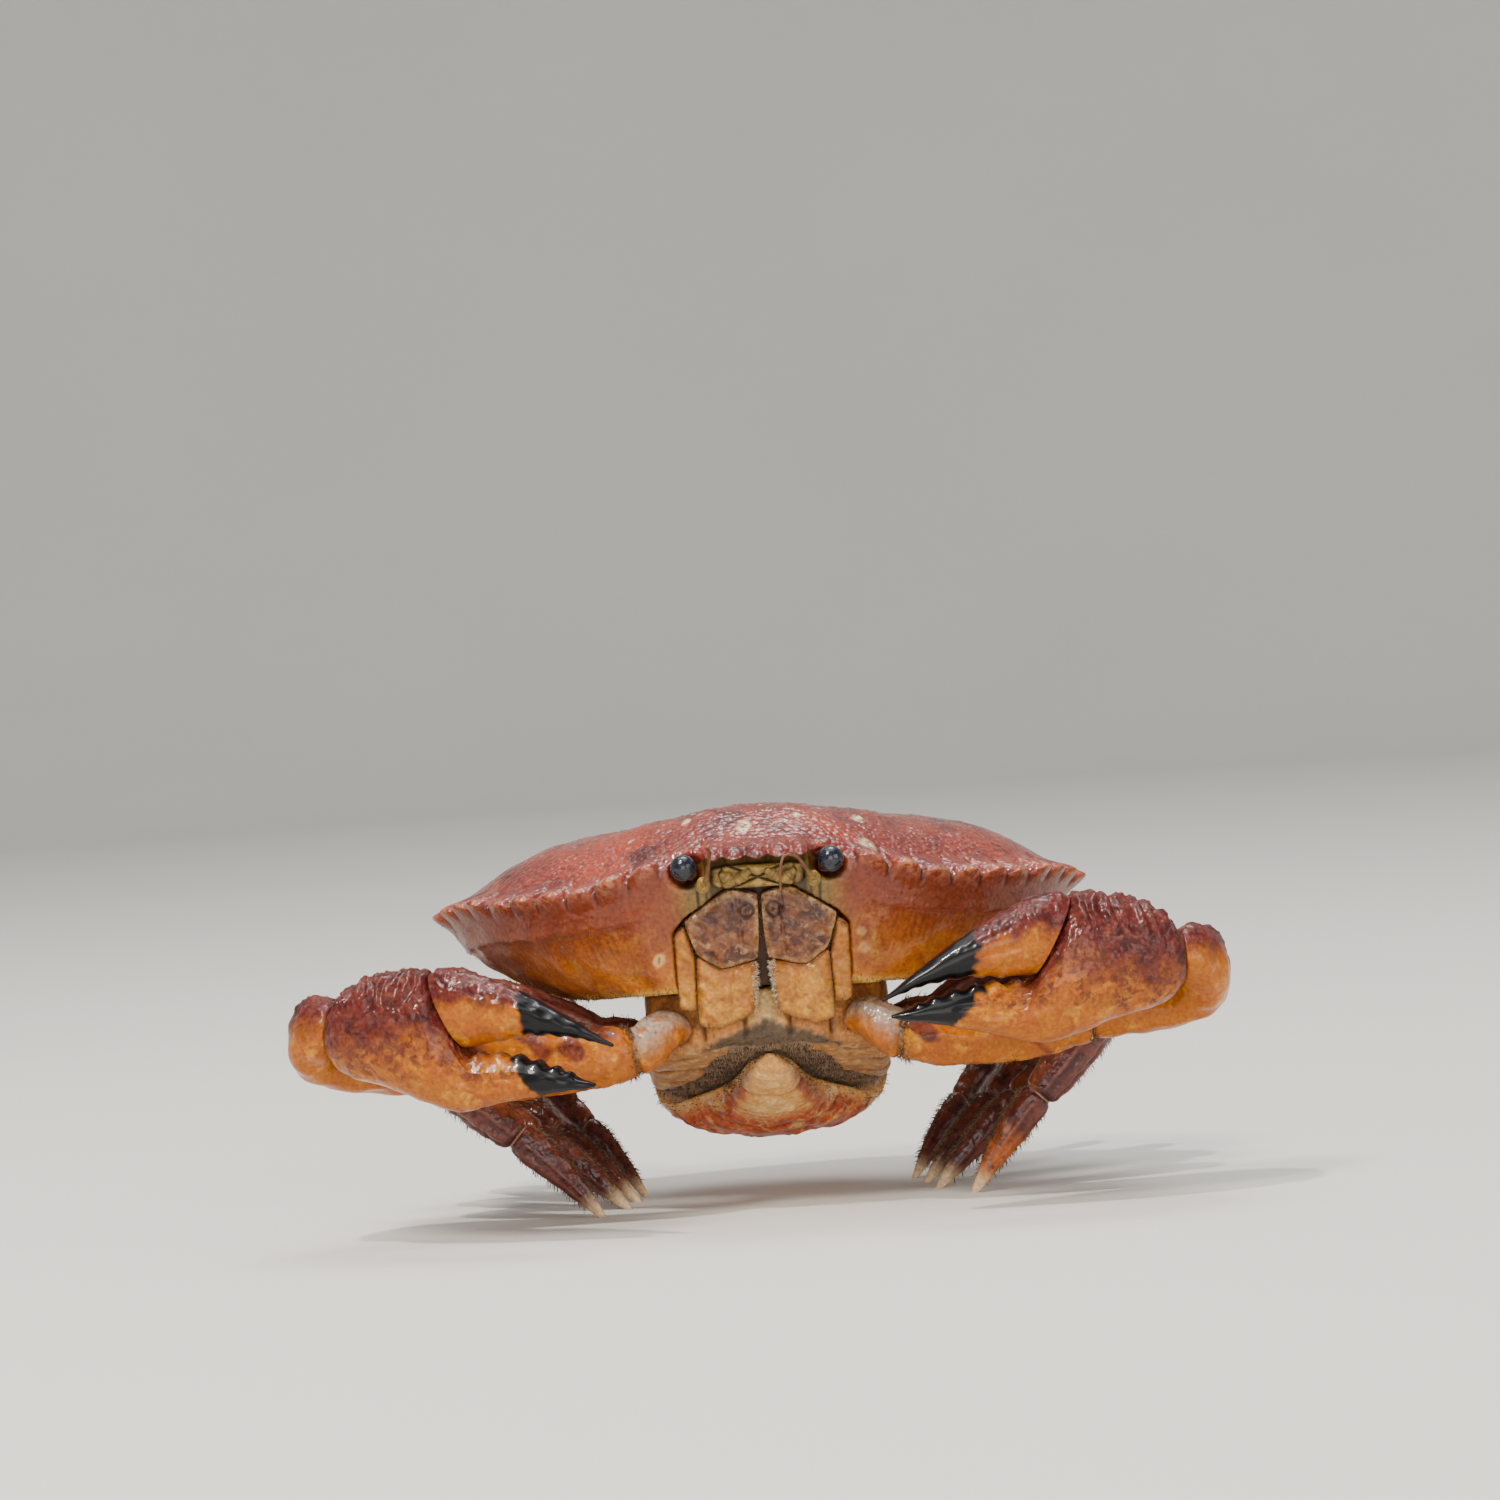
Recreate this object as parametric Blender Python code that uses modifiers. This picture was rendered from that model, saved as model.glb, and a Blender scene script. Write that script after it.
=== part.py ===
"""A red rock crab at life size: a still model that stands on its walking legs, claws folded in front.

Named lengths are millimetres and meshes are metres. +Z is up, the crab faces -Y, its left side is +X.
Body shapes are worked out in a body frame: x to the crab's left, y from the front margin to the rear,
z up through the back. That frame is then pitched nose up. Claws and legs are placed in the world frame.
"""

import math

import bmesh
import bpy
import numpy as np
from mathutils import Matrix, Vector

MM = 0.001
GAP = 0.3
SIDES = {"left": 1.0, "right": -1.0}

# Stance: nose-up pitch, height of the front margin over the floor, and where the model's middle lies.
PITCH = math.radians(18.0)
MARGIN_HEIGHT = 64.0
PIVOT_Y = 37.0
CENTRE_X = -1.383
CENTRE_Y = -5.776

# Carapace: outline from above, dome, and the underside that slopes in to its lower edge.
HALF_WIDTH = 57.5
CARAPACE_LENGTH = 74.0
WIDEST_Y = 44.0
FRONT_POWER = 1.8
REAR_POWER = 1.45
DOME_Y = 34.0
DOME_HEIGHT = 14.8
DOME_RINGS = (0.0, 0.15, 0.3, 0.45, 0.58, 0.7, 0.8, 0.88, 0.95, 1.0)
RIM_POINTS = 64
MARGIN_X = (0.0, 12.0, 17.0, 26.0, 33.0, 41.0, 48.0, 53.0, HALF_WIDTH)
MARGIN_Z_FRONT = (0.0, 0.0, -0.8, -2.8, -3.2, -2.2, -0.5, 1.5, 3.0)
MARGIN_Z_REAR = (0.0, 0.0, 0.2, 0.7, 1.2, 2.0, 2.6, 2.9, 3.0)
LOWER_HALF_WIDTH = 33.0
LOWER_FRONT_Y = 13.0
LOWER_REAR_Y = 66.0
LOWER_Z = -20.5
LOWER_SLOPE = 0.25
LOWER_POWER = 2.5
UNDER_RINGS = (0.15, 0.35, 0.55, 0.75, 0.9, 1.0)
UNDER_BULGE = 1.38

# Two flat cuts: the mouth slopes back below the front margin, and the rear face carries the abdomen.
MOUTH_POINT = np.array((0.0, 3.5, -5.1))
MOUTH_DOWN = np.array((0.0, 0.543, -0.839))
MOUTH_OUT = np.array((0.0, -0.839, -0.543))
REAR_POINT = np.array((0.0, 74.6, -2.0))
REAR_OUT = np.array((0.0, 0.944, -0.331))

# Teeth of the carapace margin and of the front between the eyes.
MARGIN_TEETH = 10
TOOTH_REACH = 2.6
TOOTH_HALF_WIDTH = 3.4
TOOTH_HALF_HEIGHT = 1.6
FRONT_TEETH = 5
FRONT_TOOTH_SPACING = 4.0
FRONT_TOOTH_REACH = 1.7
FRONT_HALF_WIDTH = 9.8
FRONT_SHELF_REACH = 1.8
FRONT_SHELF_LOW = -0.6
FRONT_SHELF_HIGH = 0.9

# Eyes in their sockets, and the feelers beside them.
SOCKET_CENTRE = np.array((12.6, 1.0, -1.3))
SOCKET_RADIUS = 3.4
EYE_RADIUS = 2.3
EYE_DIRECTION = np.array((0.35, -0.93, 0.1))

FEELER_DROOPS = {
    # body-frame points after the base, each with its radius
    "left": ((7.0, -3.6, -1.6, 0.32), (4.8, -4.6, -1.6, 0.28), (3.9, -4.8, -4.5, 0.26),
             (3.8, -4.6, -8.0, 0.25)),
    "right": ((8.2, -4.0, -1.4, 0.32), (8.0, -6.0, -0.4, 0.28), (8.6, -8.5, -0.2, 0.25)),
}

# Mouthparts lie in a shallow frame sunk into the sloping mouth.
MOUTH_DEPTH = 2.0
PLATE_THICKNESS = 2.3
MOUTH_FRAME = ((0.0, -0.4), (6.0, -0.6), (13.5, 4.5), (15.9, 7.0), (15.6, 24.0), (14.0, 30.0),
               (0.0, 30.0))
MERUS_PLATE = ((0.3, 1.0), (5.4, -0.1), (13.4, 5.2), (11.4, 11.3), (7.6, 14.1), (0.9, 12.7))
ISCHIUM_PLATE = ((1.0, 13.2), (7.5, 14.6), (11.6, 11.7), (11.9, 24.4), (8.4, 25.1), (2.2, 22.8))
EXOPOD_PLATE = ((12.0, 12.2), (13.5, 6.3), (15.3, 7.6), (15.2, 21.2), (12.2, 21.6))
FACE_HALF_WIDTH = 8.2
FACE_TOP = -5.1
FACE_BOTTOM = -0.75
FACE_THICKNESS = 1.5
FACE_FOLDS = ((2.6, -3.1, 0.75), (5.3, -2.8, -0.75))

# Thorax under the carapace, and the abdomen folded below it and up the rear face.
THORAX_SIDE_Z = -27.2
THORAX_BOTTOM = -29.0
THORAX_INSET = 2.5
THORAX_HALF_WIDTH = 22.0
THORAX_FACET = ((11.5, 20.3), (THORAX_HALF_WIDTH, 27.0))
THORAX_OUTLINE = ((0.0, 18.9), (8.0, 19.0), *THORAX_FACET, (THORAX_HALF_WIDTH, 59.0), (16.0, 63.6),
                  (0.0, 63.8))
ABDOMEN_ROWS = (
    # outer y, outer z, inner y, inner z, half width
    (25.3, -29.9, 25.6, -29.3, 0.8),
    (28.0, -31.0, 28.4, -29.3, 2.2),
    (32.0, -32.4, 32.0, -29.3, 3.8),
    (41.0, -33.8, 41.0, -29.3, 5.8),
    (46.0, -35.2, 46.0, -29.3, 7.2),
    (50.0, -36.2, 50.0, -29.3, 9.0),
    (57.0, -37.2, 56.5, -29.3, 13.5),
    (63.0, -36.4, 62.0, -29.3, 18.6),
    (68.5, -31.8, 66.8, -25.2, 21.8),
    (72.3, -24.0, 69.3, -18.0, 19.8),
    (74.6, -15.6, 72.1, -10.0, 17.0),
    (75.9, -7.4, 74.1, -4.2, 14.2),
)

# Claw profile: each row is the upper edge, the lower edge and the half thickness between them.
PALM_ROWS = (
    ((0.0, 4.5), (0.0, -5.5), 5.0),
    ((2.5, 8.0), (2.5, -8.0), 6.3),
    ((6.5, 10.6), (7.0, -9.6), 7.2),
    ((12.0, 12.2), (13.0, -10.6), 7.6),
    ((17.0, 13.0), (20.0, -12.8), 7.4),
    ((19.8, 12.4), (26.0, -14.2), 6.8),
    ((22.1, 8.4), (29.0, -14.0), 6.2),
    ((25.0, 3.3), (32.0, -13.2), 5.4),
    ((28.0, -2.0), (34.0, -12.5), 4.8),
    ((31.0, -3.2), (37.0, -11.7), 4.4),
    ((38.0, -2.8), (41.0, -10.7), 3.9),
    ((46.0, -4.3), (47.0, -9.2), 3.0),
    ((52.0, -6.0), (52.0, -8.2), 1.9),
    ((55.3, -6.8), (55.3, -7.5), 0.6),
)
FINGER_ROWS = (
    ((20.3, 12.6), (28.1, -1.6), 5.2),
    ((24.0, 13.0), (31.0, -1.9), 5.3),
    ((29.0, 11.2), (35.0, -2.0), 4.9),
    ((35.0, 8.0), (40.0, -2.0), 4.1),
    ((42.0, 4.2), (45.0, -2.8), 3.2),
    ((48.0, 0.2), (49.5, -3.9), 2.3),
    ((53.0, -3.8), (53.0, -5.3), 1.3),
    ((56.0, -6.0), (55.7, -6.5), 0.5),
)
HINGE = (21.0, 12.5)
CLAW_TOOTH_RADIUS = 1.2
PALM_TEETH_U = (32.5, 36.0, 39.5, 43.0, 46.5)
FINGER_TEETH_U = (34.0, 37.5, 41.0, 44.5, 48.0)
CARPUS_SWELL = 2.6
CARPUS_REACH_SWELL = 0.8
CARPUS_ELBOW = (5.0, 6.0)
CARPUS_WRIST = 4.8
COXA_HEIGHT = -24.2
COXA_END = (23.5, -25.4, 30.5)
COXA_DROOP = (1.0, -0.05, -0.15)
ARM_REACH = (1.0, 0.05, 0.15)
COXA_SECTIONS = ((0.0, 2.8, 4.4), (0.4, 3.6, 4.3), (1.0, 4.3, 4.0))
ARM_SECTIONS = ((0.0, 4.3, 4.0), (0.12, 5.0, 4.4), (0.3, 5.4, 4.6), (0.7, 6.6, 5.2), (1.0, 6.2, 5.0))
CLAWS = {
    # wrist, yaw to the front, dip of the tip, opening of the finger, size, and the wrist from the elbow
    "left": ((72.0, -37.0, 42.1), 10.0, 0.0, 3.5, 0.93, (15.5, -12.5, 9.0)),
    "right": ((-75.2, -35.5, 38.6), 19.0, 5.6, 11.0, 0.88, (-15.5, -11.0, 7.1)),
}

# One walking leg's segments: share of its length, half height and half width.
LEG_MERUS = ((0.0, 3.0, 3.0), (0.08, 3.4, 3.4), (0.16, 3.4, 3.0), (0.23, 2.9, 2.5), (0.32, 3.7, 2.8),
             (0.55, 4.7, 3.2), (0.85, 4.5, 3.0), (1.0, 3.6, 2.5))
LEG_CARPUS = ((0.0, 3.5, 2.5), (0.25, 4.1, 3.0), (0.6, 4.5, 3.2), (1.0, 3.6, 2.6))
LEG_PROPODUS = ((0.0, 3.5, 2.5), (0.2, 3.9, 2.7), (0.6, 3.8, 2.6), (1.0, 3.0, 2.2))
LEG_DACTYL = ((0.0, 2.9, 2.1), (0.15, 3.0, 2.1), (0.5, 2.3, 1.6), (0.8, 1.4, 1.0), (0.94, 0.8, 0.7),
              (1.0, 0.6, 0.6))
LEG_ROOT_Y = (31.0, 40.0, 48.5, 56.0)
LEG_ROOT_Z = (-23.8, -23.2, -22.2, -21.2)
LEG_AZIMUTH = (5.0, 17.0, 30.0, 45.0)
LEG_LIFT = {"left": (20.0, 18.0, 18.0, 18.0), "right": (16.0, 15.0, 15.0, 16.0)}
LEG_SCALE = (1.0, 1.0, 1.0, 0.9)
LEG_LENGTHS = ((33.0, 13.5, 20.0, 21.0), (36.0, 14.0, 22.0, 22.0), (35.0, 13.5, 22.0, 21.0),
               (30.0, 12.0, 20.0, 19.0))


def paint(name, rgb, roughness):
    """A glossy shell or skin material with one base colour."""
    material = bpy.data.materials.new(name)
    material.use_nodes = True
    shader = material.node_tree.nodes["Principled BSDF"]
    shader.inputs["Base Color"].default_value = (*rgb, 1.0)
    shader.inputs["Roughness"].default_value = roughness
    shader.inputs["Metallic"].default_value = 0.0
    return material


def clear_scene():
    """Starts from an empty file."""
    for obj in list(bpy.data.objects):
        bpy.data.objects.remove(obj, do_unlink=True)


def unit(vector):
    """The vector at length one."""
    vector = np.asarray(vector, float)
    return vector / np.linalg.norm(vector)


def smooth(table_x, table_y, x):
    """Values of a smooth curve through the table: a cubic on each stretch, slopes from its neighbours."""
    table_x = np.asarray(table_x, float)
    table_y = np.asarray(table_y, float)
    slopes = np.gradient(table_y, table_x, axis=0)
    x = np.atleast_1d(np.asarray(x, float))
    i = np.clip(np.searchsorted(table_x, x) - 1, 0, len(table_x) - 2)
    step = table_x[i + 1] - table_x[i]
    t = (x - table_x[i]) / step
    if table_y.ndim > 1:
        step = step[:, None]
        t = t[:, None]
    start = table_y[i] * (1 + 2 * t) * (1 - t) ** 2 + slopes[i] * step * t * (1 - t) ** 2
    end = table_y[i + 1] * (3 - 2 * t) * t ** 2 - slopes[i + 1] * step * (1 - t) * t ** 2
    return start + end


def round_shares(count, power):
    """Cosine and sine shares of one closed superellipse ring."""
    angle = np.linspace(0.0, 2.0 * math.pi, count, endpoint=False)
    cos = np.cos(angle)
    sin = np.sin(angle)
    return np.sign(cos) * np.abs(cos) ** (2 / power), np.sign(sin) * np.abs(sin) ** (2 / power)


def new_object(name, mesh, material):
    """An object of this mesh in the model's collection."""
    obj = bpy.data.objects.new(name, mesh)
    mesh.materials.clear()
    mesh.materials.append(material)
    bpy.data.collections["red_rock_crab"].objects.link(obj)
    return obj


def loft_mesh(name, rings):
    """A closed mesh through rings of points in millimetres. A ring of one point is a pole."""
    bm = bmesh.new()
    rows = [[bm.verts.new(point * MM) for point in np.atleast_2d(ring)] for ring in rings]
    for near, far in zip(rows, rows[1:]):
        count = max(len(near), len(far))
        for i in range(count):
            j = (i + 1) % count
            if len(near) == 1:
                bm.faces.new((near[0], far[j], far[i]))
            elif len(far) == 1:
                bm.faces.new((near[i], near[j], far[0]))
            else:
                bm.faces.new((near[i], near[j], far[j], far[i]))
    for end in (rows[0], rows[-1]):
        if len(end) > 2:
            bm.faces.new(end)
    bmesh.ops.recalc_face_normals(bm, faces=bm.faces)
    mesh = bpy.data.meshes.new(name)
    bm.to_mesh(mesh)
    bm.free()
    return mesh


def plate_mesh(name, outline, place, low, high):
    """A flat plate: place(a, b, height) puts an outline point, and its upper edge is eased inwards."""
    outline = round_corners(np.array(outline, float))
    middle = outline.mean(axis=0)
    eased = middle + (outline - middle) * 0.9
    rings = ((outline, low), (outline, high - 0.35 * (high - low)), (eased, high))
    return loft_mesh(name, [np.array([place(a, b, height) for a, b in ring]) for ring, height in rings])


def round_corners(points):
    """Cuts each corner of a closed outline once, a seventh of the way along each side."""
    after = np.roll(points, -1, axis=0)
    share = 1 / 7
    return np.stack(((1 - share) * points + share * after, share * points + (1 - share) * after),
                    axis=1).reshape(-1, 2)


def keep_largest(mesh):
    """Removes every loose scrap but the largest surface."""
    bm = bmesh.new()
    bm.from_mesh(mesh)
    left = set(bm.faces)
    groups = []
    while left:
        group = {left.pop()}
        edge = list(group)
        while edge:
            face = edge.pop()
            near = {other for e in face.edges for other in e.link_faces if other in left}
            left -= near
            group |= near
            edge.extend(near)
        groups.append(group)
    groups.sort(key=lambda faces: sum(face.calc_area() for face in faces))
    scraps = [face for group in groups[:-1] for face in group]
    bmesh.ops.delete(bm, geom=scraps, context="FACES")
    bmesh.ops.delete(bm, geom=[v for v in bm.verts if not v.link_faces], context="VERTS")
    bm.to_mesh(mesh)
    bm.free()


def combine(obj, meshes, operation):
    """One Boolean of the object with closed meshes, applied. The helpers are removed afterwards."""
    tools = bpy.data.collections.new(obj.name + "_tools")
    bpy.context.scene.collection.children.link(tools)
    for i, mesh in enumerate(meshes):
        helper = bpy.data.objects.new(f"{obj.name}_tool_{i}", mesh)
        helper.hide_render = True
        helper.display_type = "WIRE"
        tools.objects.link(helper)
    change = obj.modifiers.new("combine", "BOOLEAN")
    change.operation = operation
    change.solver = "EXACT"
    change.operand_type = "COLLECTION"
    change.collection = tools
    graph = bpy.context.evaluated_depsgraph_get()
    joined = bpy.data.meshes.new_from_object(obj.evaluated_get(graph))
    obj.modifiers.clear()
    material = obj.data.materials[0]
    obj.data = joined
    joined.materials.clear()
    joined.materials.append(material)
    keep_largest(joined)
    for helper in list(tools.objects):
        bpy.data.objects.remove(helper, do_unlink=True)
    bpy.data.collections.remove(tools)


def knob_mesh(name, centre, along, across, reach, half_across, half_up, base_share=0.45, blunt=0.22):
    """A blunt tapering tooth. Its root is sunk behind the centre by a share of its reach."""
    along = unit(along)
    across = unit(across - np.dot(across, along) * along)
    up = np.cross(along, across)
    bm = bmesh.new()
    depth = reach * (1.0 + base_share)
    bmesh.ops.create_cone(bm, cap_ends=True, segments=7, radius1=1.0, radius2=blunt, depth=1.0)
    frame = Matrix(np.column_stack((across * half_across, up * half_up, along * depth)).tolist()).to_4x4()
    middle = np.asarray(centre) + along * (depth / 2 - reach * base_share)
    bmesh.ops.transform(bm, matrix=Matrix.Translation(middle) @ frame, verts=bm.verts)
    bmesh.ops.transform(bm, matrix=Matrix.Scale(MM, 4), verts=bm.verts)
    bmesh.ops.recalc_face_normals(bm, faces=bm.faces)
    mesh = bpy.data.meshes.new(name)
    bm.to_mesh(mesh)
    bm.free()
    return mesh


def ball_mesh(name, centre, radius, segments=14):
    """A sphere in millimetres."""
    bm = bmesh.new()
    bmesh.ops.create_uvsphere(bm, u_segments=segments, v_segments=segments // 2 + 1, radius=radius)
    bmesh.ops.translate(bm, vec=centre, verts=bm.verts)
    bmesh.ops.transform(bm, matrix=Matrix.Scale(MM, 4), verts=bm.verts)
    mesh = bpy.data.meshes.new(name)
    bm.to_mesh(mesh)
    bm.free()
    return mesh


def body_matrix():
    """Body frame to world, in millimetres: pitched about X and lifted to the margin's height."""
    lift = Matrix.Translation((-CENTRE_X, -PIVOT_Y * math.cos(PITCH) - CENTRE_Y, MARGIN_HEIGHT))
    return lift @ Matrix.Rotation(-PITCH, 4, "X")


def to_world(point):
    """A body-frame point in the world frame, in millimetres."""
    return np.array(body_matrix() @ Vector(point))


def stand(x, y, z):
    """A point given before the model is centred over its origin."""
    return np.array((x - CENTRE_X, y - CENTRE_Y, z))


def turned(direction):
    """A body-frame direction in the world frame."""
    return np.array(body_matrix().to_3x3() @ Vector(direction))


def pitch_up(obj):
    """Places an object that was modelled in the body frame."""
    matrix = body_matrix()
    matrix.translation *= MM
    obj.matrix_world = matrix
    return obj


def on_mouth(x, down, height):
    """A body-frame point by its distance down the sloping mouth and its height off it."""
    return MOUTH_POINT + np.array((x, 0.0, 0.0)) + down * MOUTH_DOWN + height * MOUTH_OUT


def behind(points, plane_point, outward):
    """Points outside a plane are moved straight back onto it."""
    outside = np.maximum((points - plane_point) @ outward, 0.0)
    return points - np.outer(outside, outward)


def margin(angle):
    """Body-frame points of the carapace margin: two superellipse halves on one widest line."""
    cos = np.cos(angle)
    sin = np.sin(angle)
    front = sin >= 0
    power = np.where(front, FRONT_POWER, REAR_POWER)
    depth = np.where(front, WIDEST_Y, CARAPACE_LENGTH - WIDEST_Y)
    x = HALF_WIDTH * np.sign(cos) * np.abs(cos) ** (2 / power)
    y = WIDEST_Y - depth * np.sign(sin) * np.abs(sin) ** (2 / power)
    front_z = smooth(MARGIN_X, MARGIN_Z_FRONT, np.abs(x))
    rear_z = smooth(MARGIN_X, MARGIN_Z_REAR, np.abs(x))
    return np.column_stack((x, y, np.where(front, front_z, rear_z)))


def lower_height(y):
    """Height of the underside's lower plane, which rises towards the rear to clear the legs."""
    return LOWER_Z + LOWER_SLOPE * (y - LOWER_FRONT_Y)


def lower_edge(angle):
    """Body-frame points where the underside of the carapace ends, above the leg roots."""
    cos = np.cos(angle)
    sin = np.sin(angle)
    middle = (LOWER_FRONT_Y + LOWER_REAR_Y) / 2
    depth = (LOWER_REAR_Y - LOWER_FRONT_Y) / 2
    x = LOWER_HALF_WIDTH * np.sign(cos) * np.abs(cos) ** (2 / LOWER_POWER)
    y = middle - depth * np.sign(sin) * np.abs(sin) ** (2 / LOWER_POWER)
    return np.column_stack((x, y, lower_height(y)))


def carapace_rings():
    """Rings over the dome from its top to the margin, then under it to the lower edge."""
    angle = np.linspace(0.0, 2.0 * math.pi, RIM_POINTS, endpoint=False)
    rim = margin(angle)
    centre = np.array((0.0, DOME_Y, 0.0))
    steepness = 4.2 + 0.2 * np.sin(angle) ** 2
    rings = [np.array(((0.0, DOME_Y, DOME_HEIGHT),))]
    for share in DOME_RINGS[1:]:
        ring = centre + share * (rim - centre)
        ring[:, 2] = rim[:, 2] * share ** 2 + DOME_HEIGHT * (1.0 - share ** steepness)
        rings.append(ring)
    edge = lower_edge(angle)
    for share in UNDER_RINGS:
        ring = rim + (edge - rim) * share ** UNDER_BULGE
        ring[:, 2] = rim[:, 2] + (edge[:, 2] - rim[:, 2]) * (1.0 - (1.0 - share) ** UNDER_BULGE)
        ring = behind(ring, MOUTH_POINT, MOUTH_OUT)
        rings.append(behind(ring, REAR_POINT, REAR_OUT))
    return rings


def margin_teeth():
    """Blunt teeth along both front sides of the margin, pointing outwards and a little forwards."""
    fine = np.linspace(0.0, math.pi / 2, 400)
    line = margin(fine)
    walked = np.concatenate(([0.0], np.cumsum(np.linalg.norm(np.diff(line, axis=0), axis=1))))
    span = walked[np.abs(line[:, 0] - SOCKET_CENTRE[0] - SOCKET_RADIUS).argmin()]
    teeth = []
    for i in range(MARGIN_TEETH):
        at = (0.3 + i) / MARGIN_TEETH * span
        k = min(int(np.searchsorted(walked, at)), len(line) - 2)
        tangent = unit(line[k + 1] - line[k])
        outward = unit(np.array((-tangent[1], tangent[0], 0.0)) * -1.0)
        forward = unit(outward + 0.3 * tangent)
        for side in SIDES.values():
            flip = np.array((side, 1.0, 1.0))
            teeth.append(knob_mesh("tooth", line[k] * flip, forward * flip, tangent * flip,
                                   TOOTH_REACH, TOOTH_HALF_WIDTH, TOOTH_HALF_HEIGHT, 0.8, 0.4))
    return teeth


def front_teeth():
    """The shelf between the eyes and the small teeth on its edge."""
    back = 5.0
    half = ((FRONT_HALF_WIDTH, back), (FRONT_HALF_WIDTH, 0.2), (FRONT_HALF_WIDTH - 2.0, -FRONT_SHELF_REACH))
    corners = [(-x, y) for x, y in half] + list(reversed(half))
    low = np.array([(x, y, FRONT_SHELF_LOW) for x, y in corners])
    high = np.array([(x, y, FRONT_SHELF_HIGH) for x, y in corners])
    pieces = [loft_mesh("shelf", (low, high))]
    for i in range(FRONT_TEETH):
        x = (i - (FRONT_TEETH - 1) / 2) * FRONT_TOOTH_SPACING
        reach_y = -FRONT_SHELF_REACH + 0.4
        if abs(x) > FRONT_TOOTH_SPACING * 1.5:
            reach_y = -FRONT_SHELF_REACH + 0.7
        pieces.append(knob_mesh("front_tooth", (x, reach_y, -0.1), np.array((0.0, -1.0, 0.0)),
                                np.array((1.0, 0.0, 0.0)), FRONT_TOOTH_REACH, 1.7, 0.85, 0.6))
    return pieces


def mouth_cutter():
    """The sunken frame of the mouthparts, as a block that stands through the sloping mouth."""
    half = list(MOUTH_FRAME)
    outline = half + [(-x, down) for x, down in reversed(half) if x > 0]
    low = np.array([on_mouth(x, down, -MOUTH_DEPTH) for x, down in outline])
    high = np.array([on_mouth(x, down, 6.0) for x, down in outline])
    return loft_mesh("mouth_frame", (low, high))


def build_carapace(shell):
    """The shell with its teeth, eye sockets and mouth frame."""
    obj = new_object("carapace", loft_mesh("carapace", carapace_rings()), shell)
    combine(obj, margin_teeth() + front_teeth(), "UNION")
    sockets = [ball_mesh("socket", SOCKET_CENTRE * np.array((side, 1.0, 1.0)), SOCKET_RADIUS, 16)
               for side in SIDES.values()]
    combine(obj, sockets + [mouth_cutter()], "DIFFERENCE")
    return pitch_up(obj)


def build_thorax(skin):
    """The block under the carapace that carries the limbs, bevelled along its lower edge."""
    half = list(THORAX_OUTLINE)
    outline = np.array(half + [(-x, y) for x, y in reversed(half) if x > 0])
    middle = outline.mean(axis=0)
    rings = []
    top = lower_height(outline[:, 1]) - GAP * math.hypot(1.0, LOWER_SLOPE)
    level = np.ones(len(outline))
    for heights, inset in ((top, 0.0), (THORAX_SIDE_Z * level, 0.0), (THORAX_BOTTOM * level, THORAX_INSET)):
        flat = middle + (outline - middle) * (1.0 - inset / THORAX_HALF_WIDTH)
        rings.append(behind(np.column_stack((flat, heights)), REAR_POINT, REAR_OUT))
    return pitch_up(new_object("thorax", loft_mesh("thorax", rings), skin))


def build_abdomen(skin):
    """The broad tail folded forward under the thorax: flat inside and rounded outside."""
    rows = np.array(ABDOMEN_ROWS)
    cos, sin = round_shares(20, 2.3)
    upper = sin >= -1e-9
    cos = cos[upper]
    sin = np.maximum(sin[upper], 0.0)
    rings = []
    for outer_y, outer_z, inner_y, inner_z, half_width in rows:
        y = inner_y + (outer_y - inner_y) * sin
        z = inner_z + (outer_z - inner_z) * sin
        rings.append(np.column_stack((half_width * cos, y, z)))
    return pitch_up(new_object("abdomen", loft_mesh("abdomen", rings), skin))


def build_face(skin):
    """The plate below the front shelf, with the two small feelers folded across it."""
    half = FACE_HALF_WIDTH
    outline = ((-half, FACE_BOTTOM), (-half, FACE_TOP), (half, FACE_TOP), (half, FACE_BOTTOM))
    mesh = plate_mesh("face_plate", outline, on_mouth, GAP, GAP + FACE_THICKNESS)
    obj = new_object("face_plate", mesh, skin)
    folds = []
    for side in SIDES.values():
        for x, down, lean in FACE_FOLDS:
            centre = on_mouth(side * x, down, GAP + FACE_THICKNESS - 0.3)
            along = side * np.array((1.0, 0.0, 0.0)) * 0.9 + MOUTH_DOWN * lean
            across = np.cross(MOUTH_OUT, along)
            folds.append(knob_mesh("fold", centre - unit(along) * 1.0, along, across, 2.4, 0.75, 0.8, 0.5))
    combine(obj, folds, "UNION")
    return pitch_up(obj)


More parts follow.
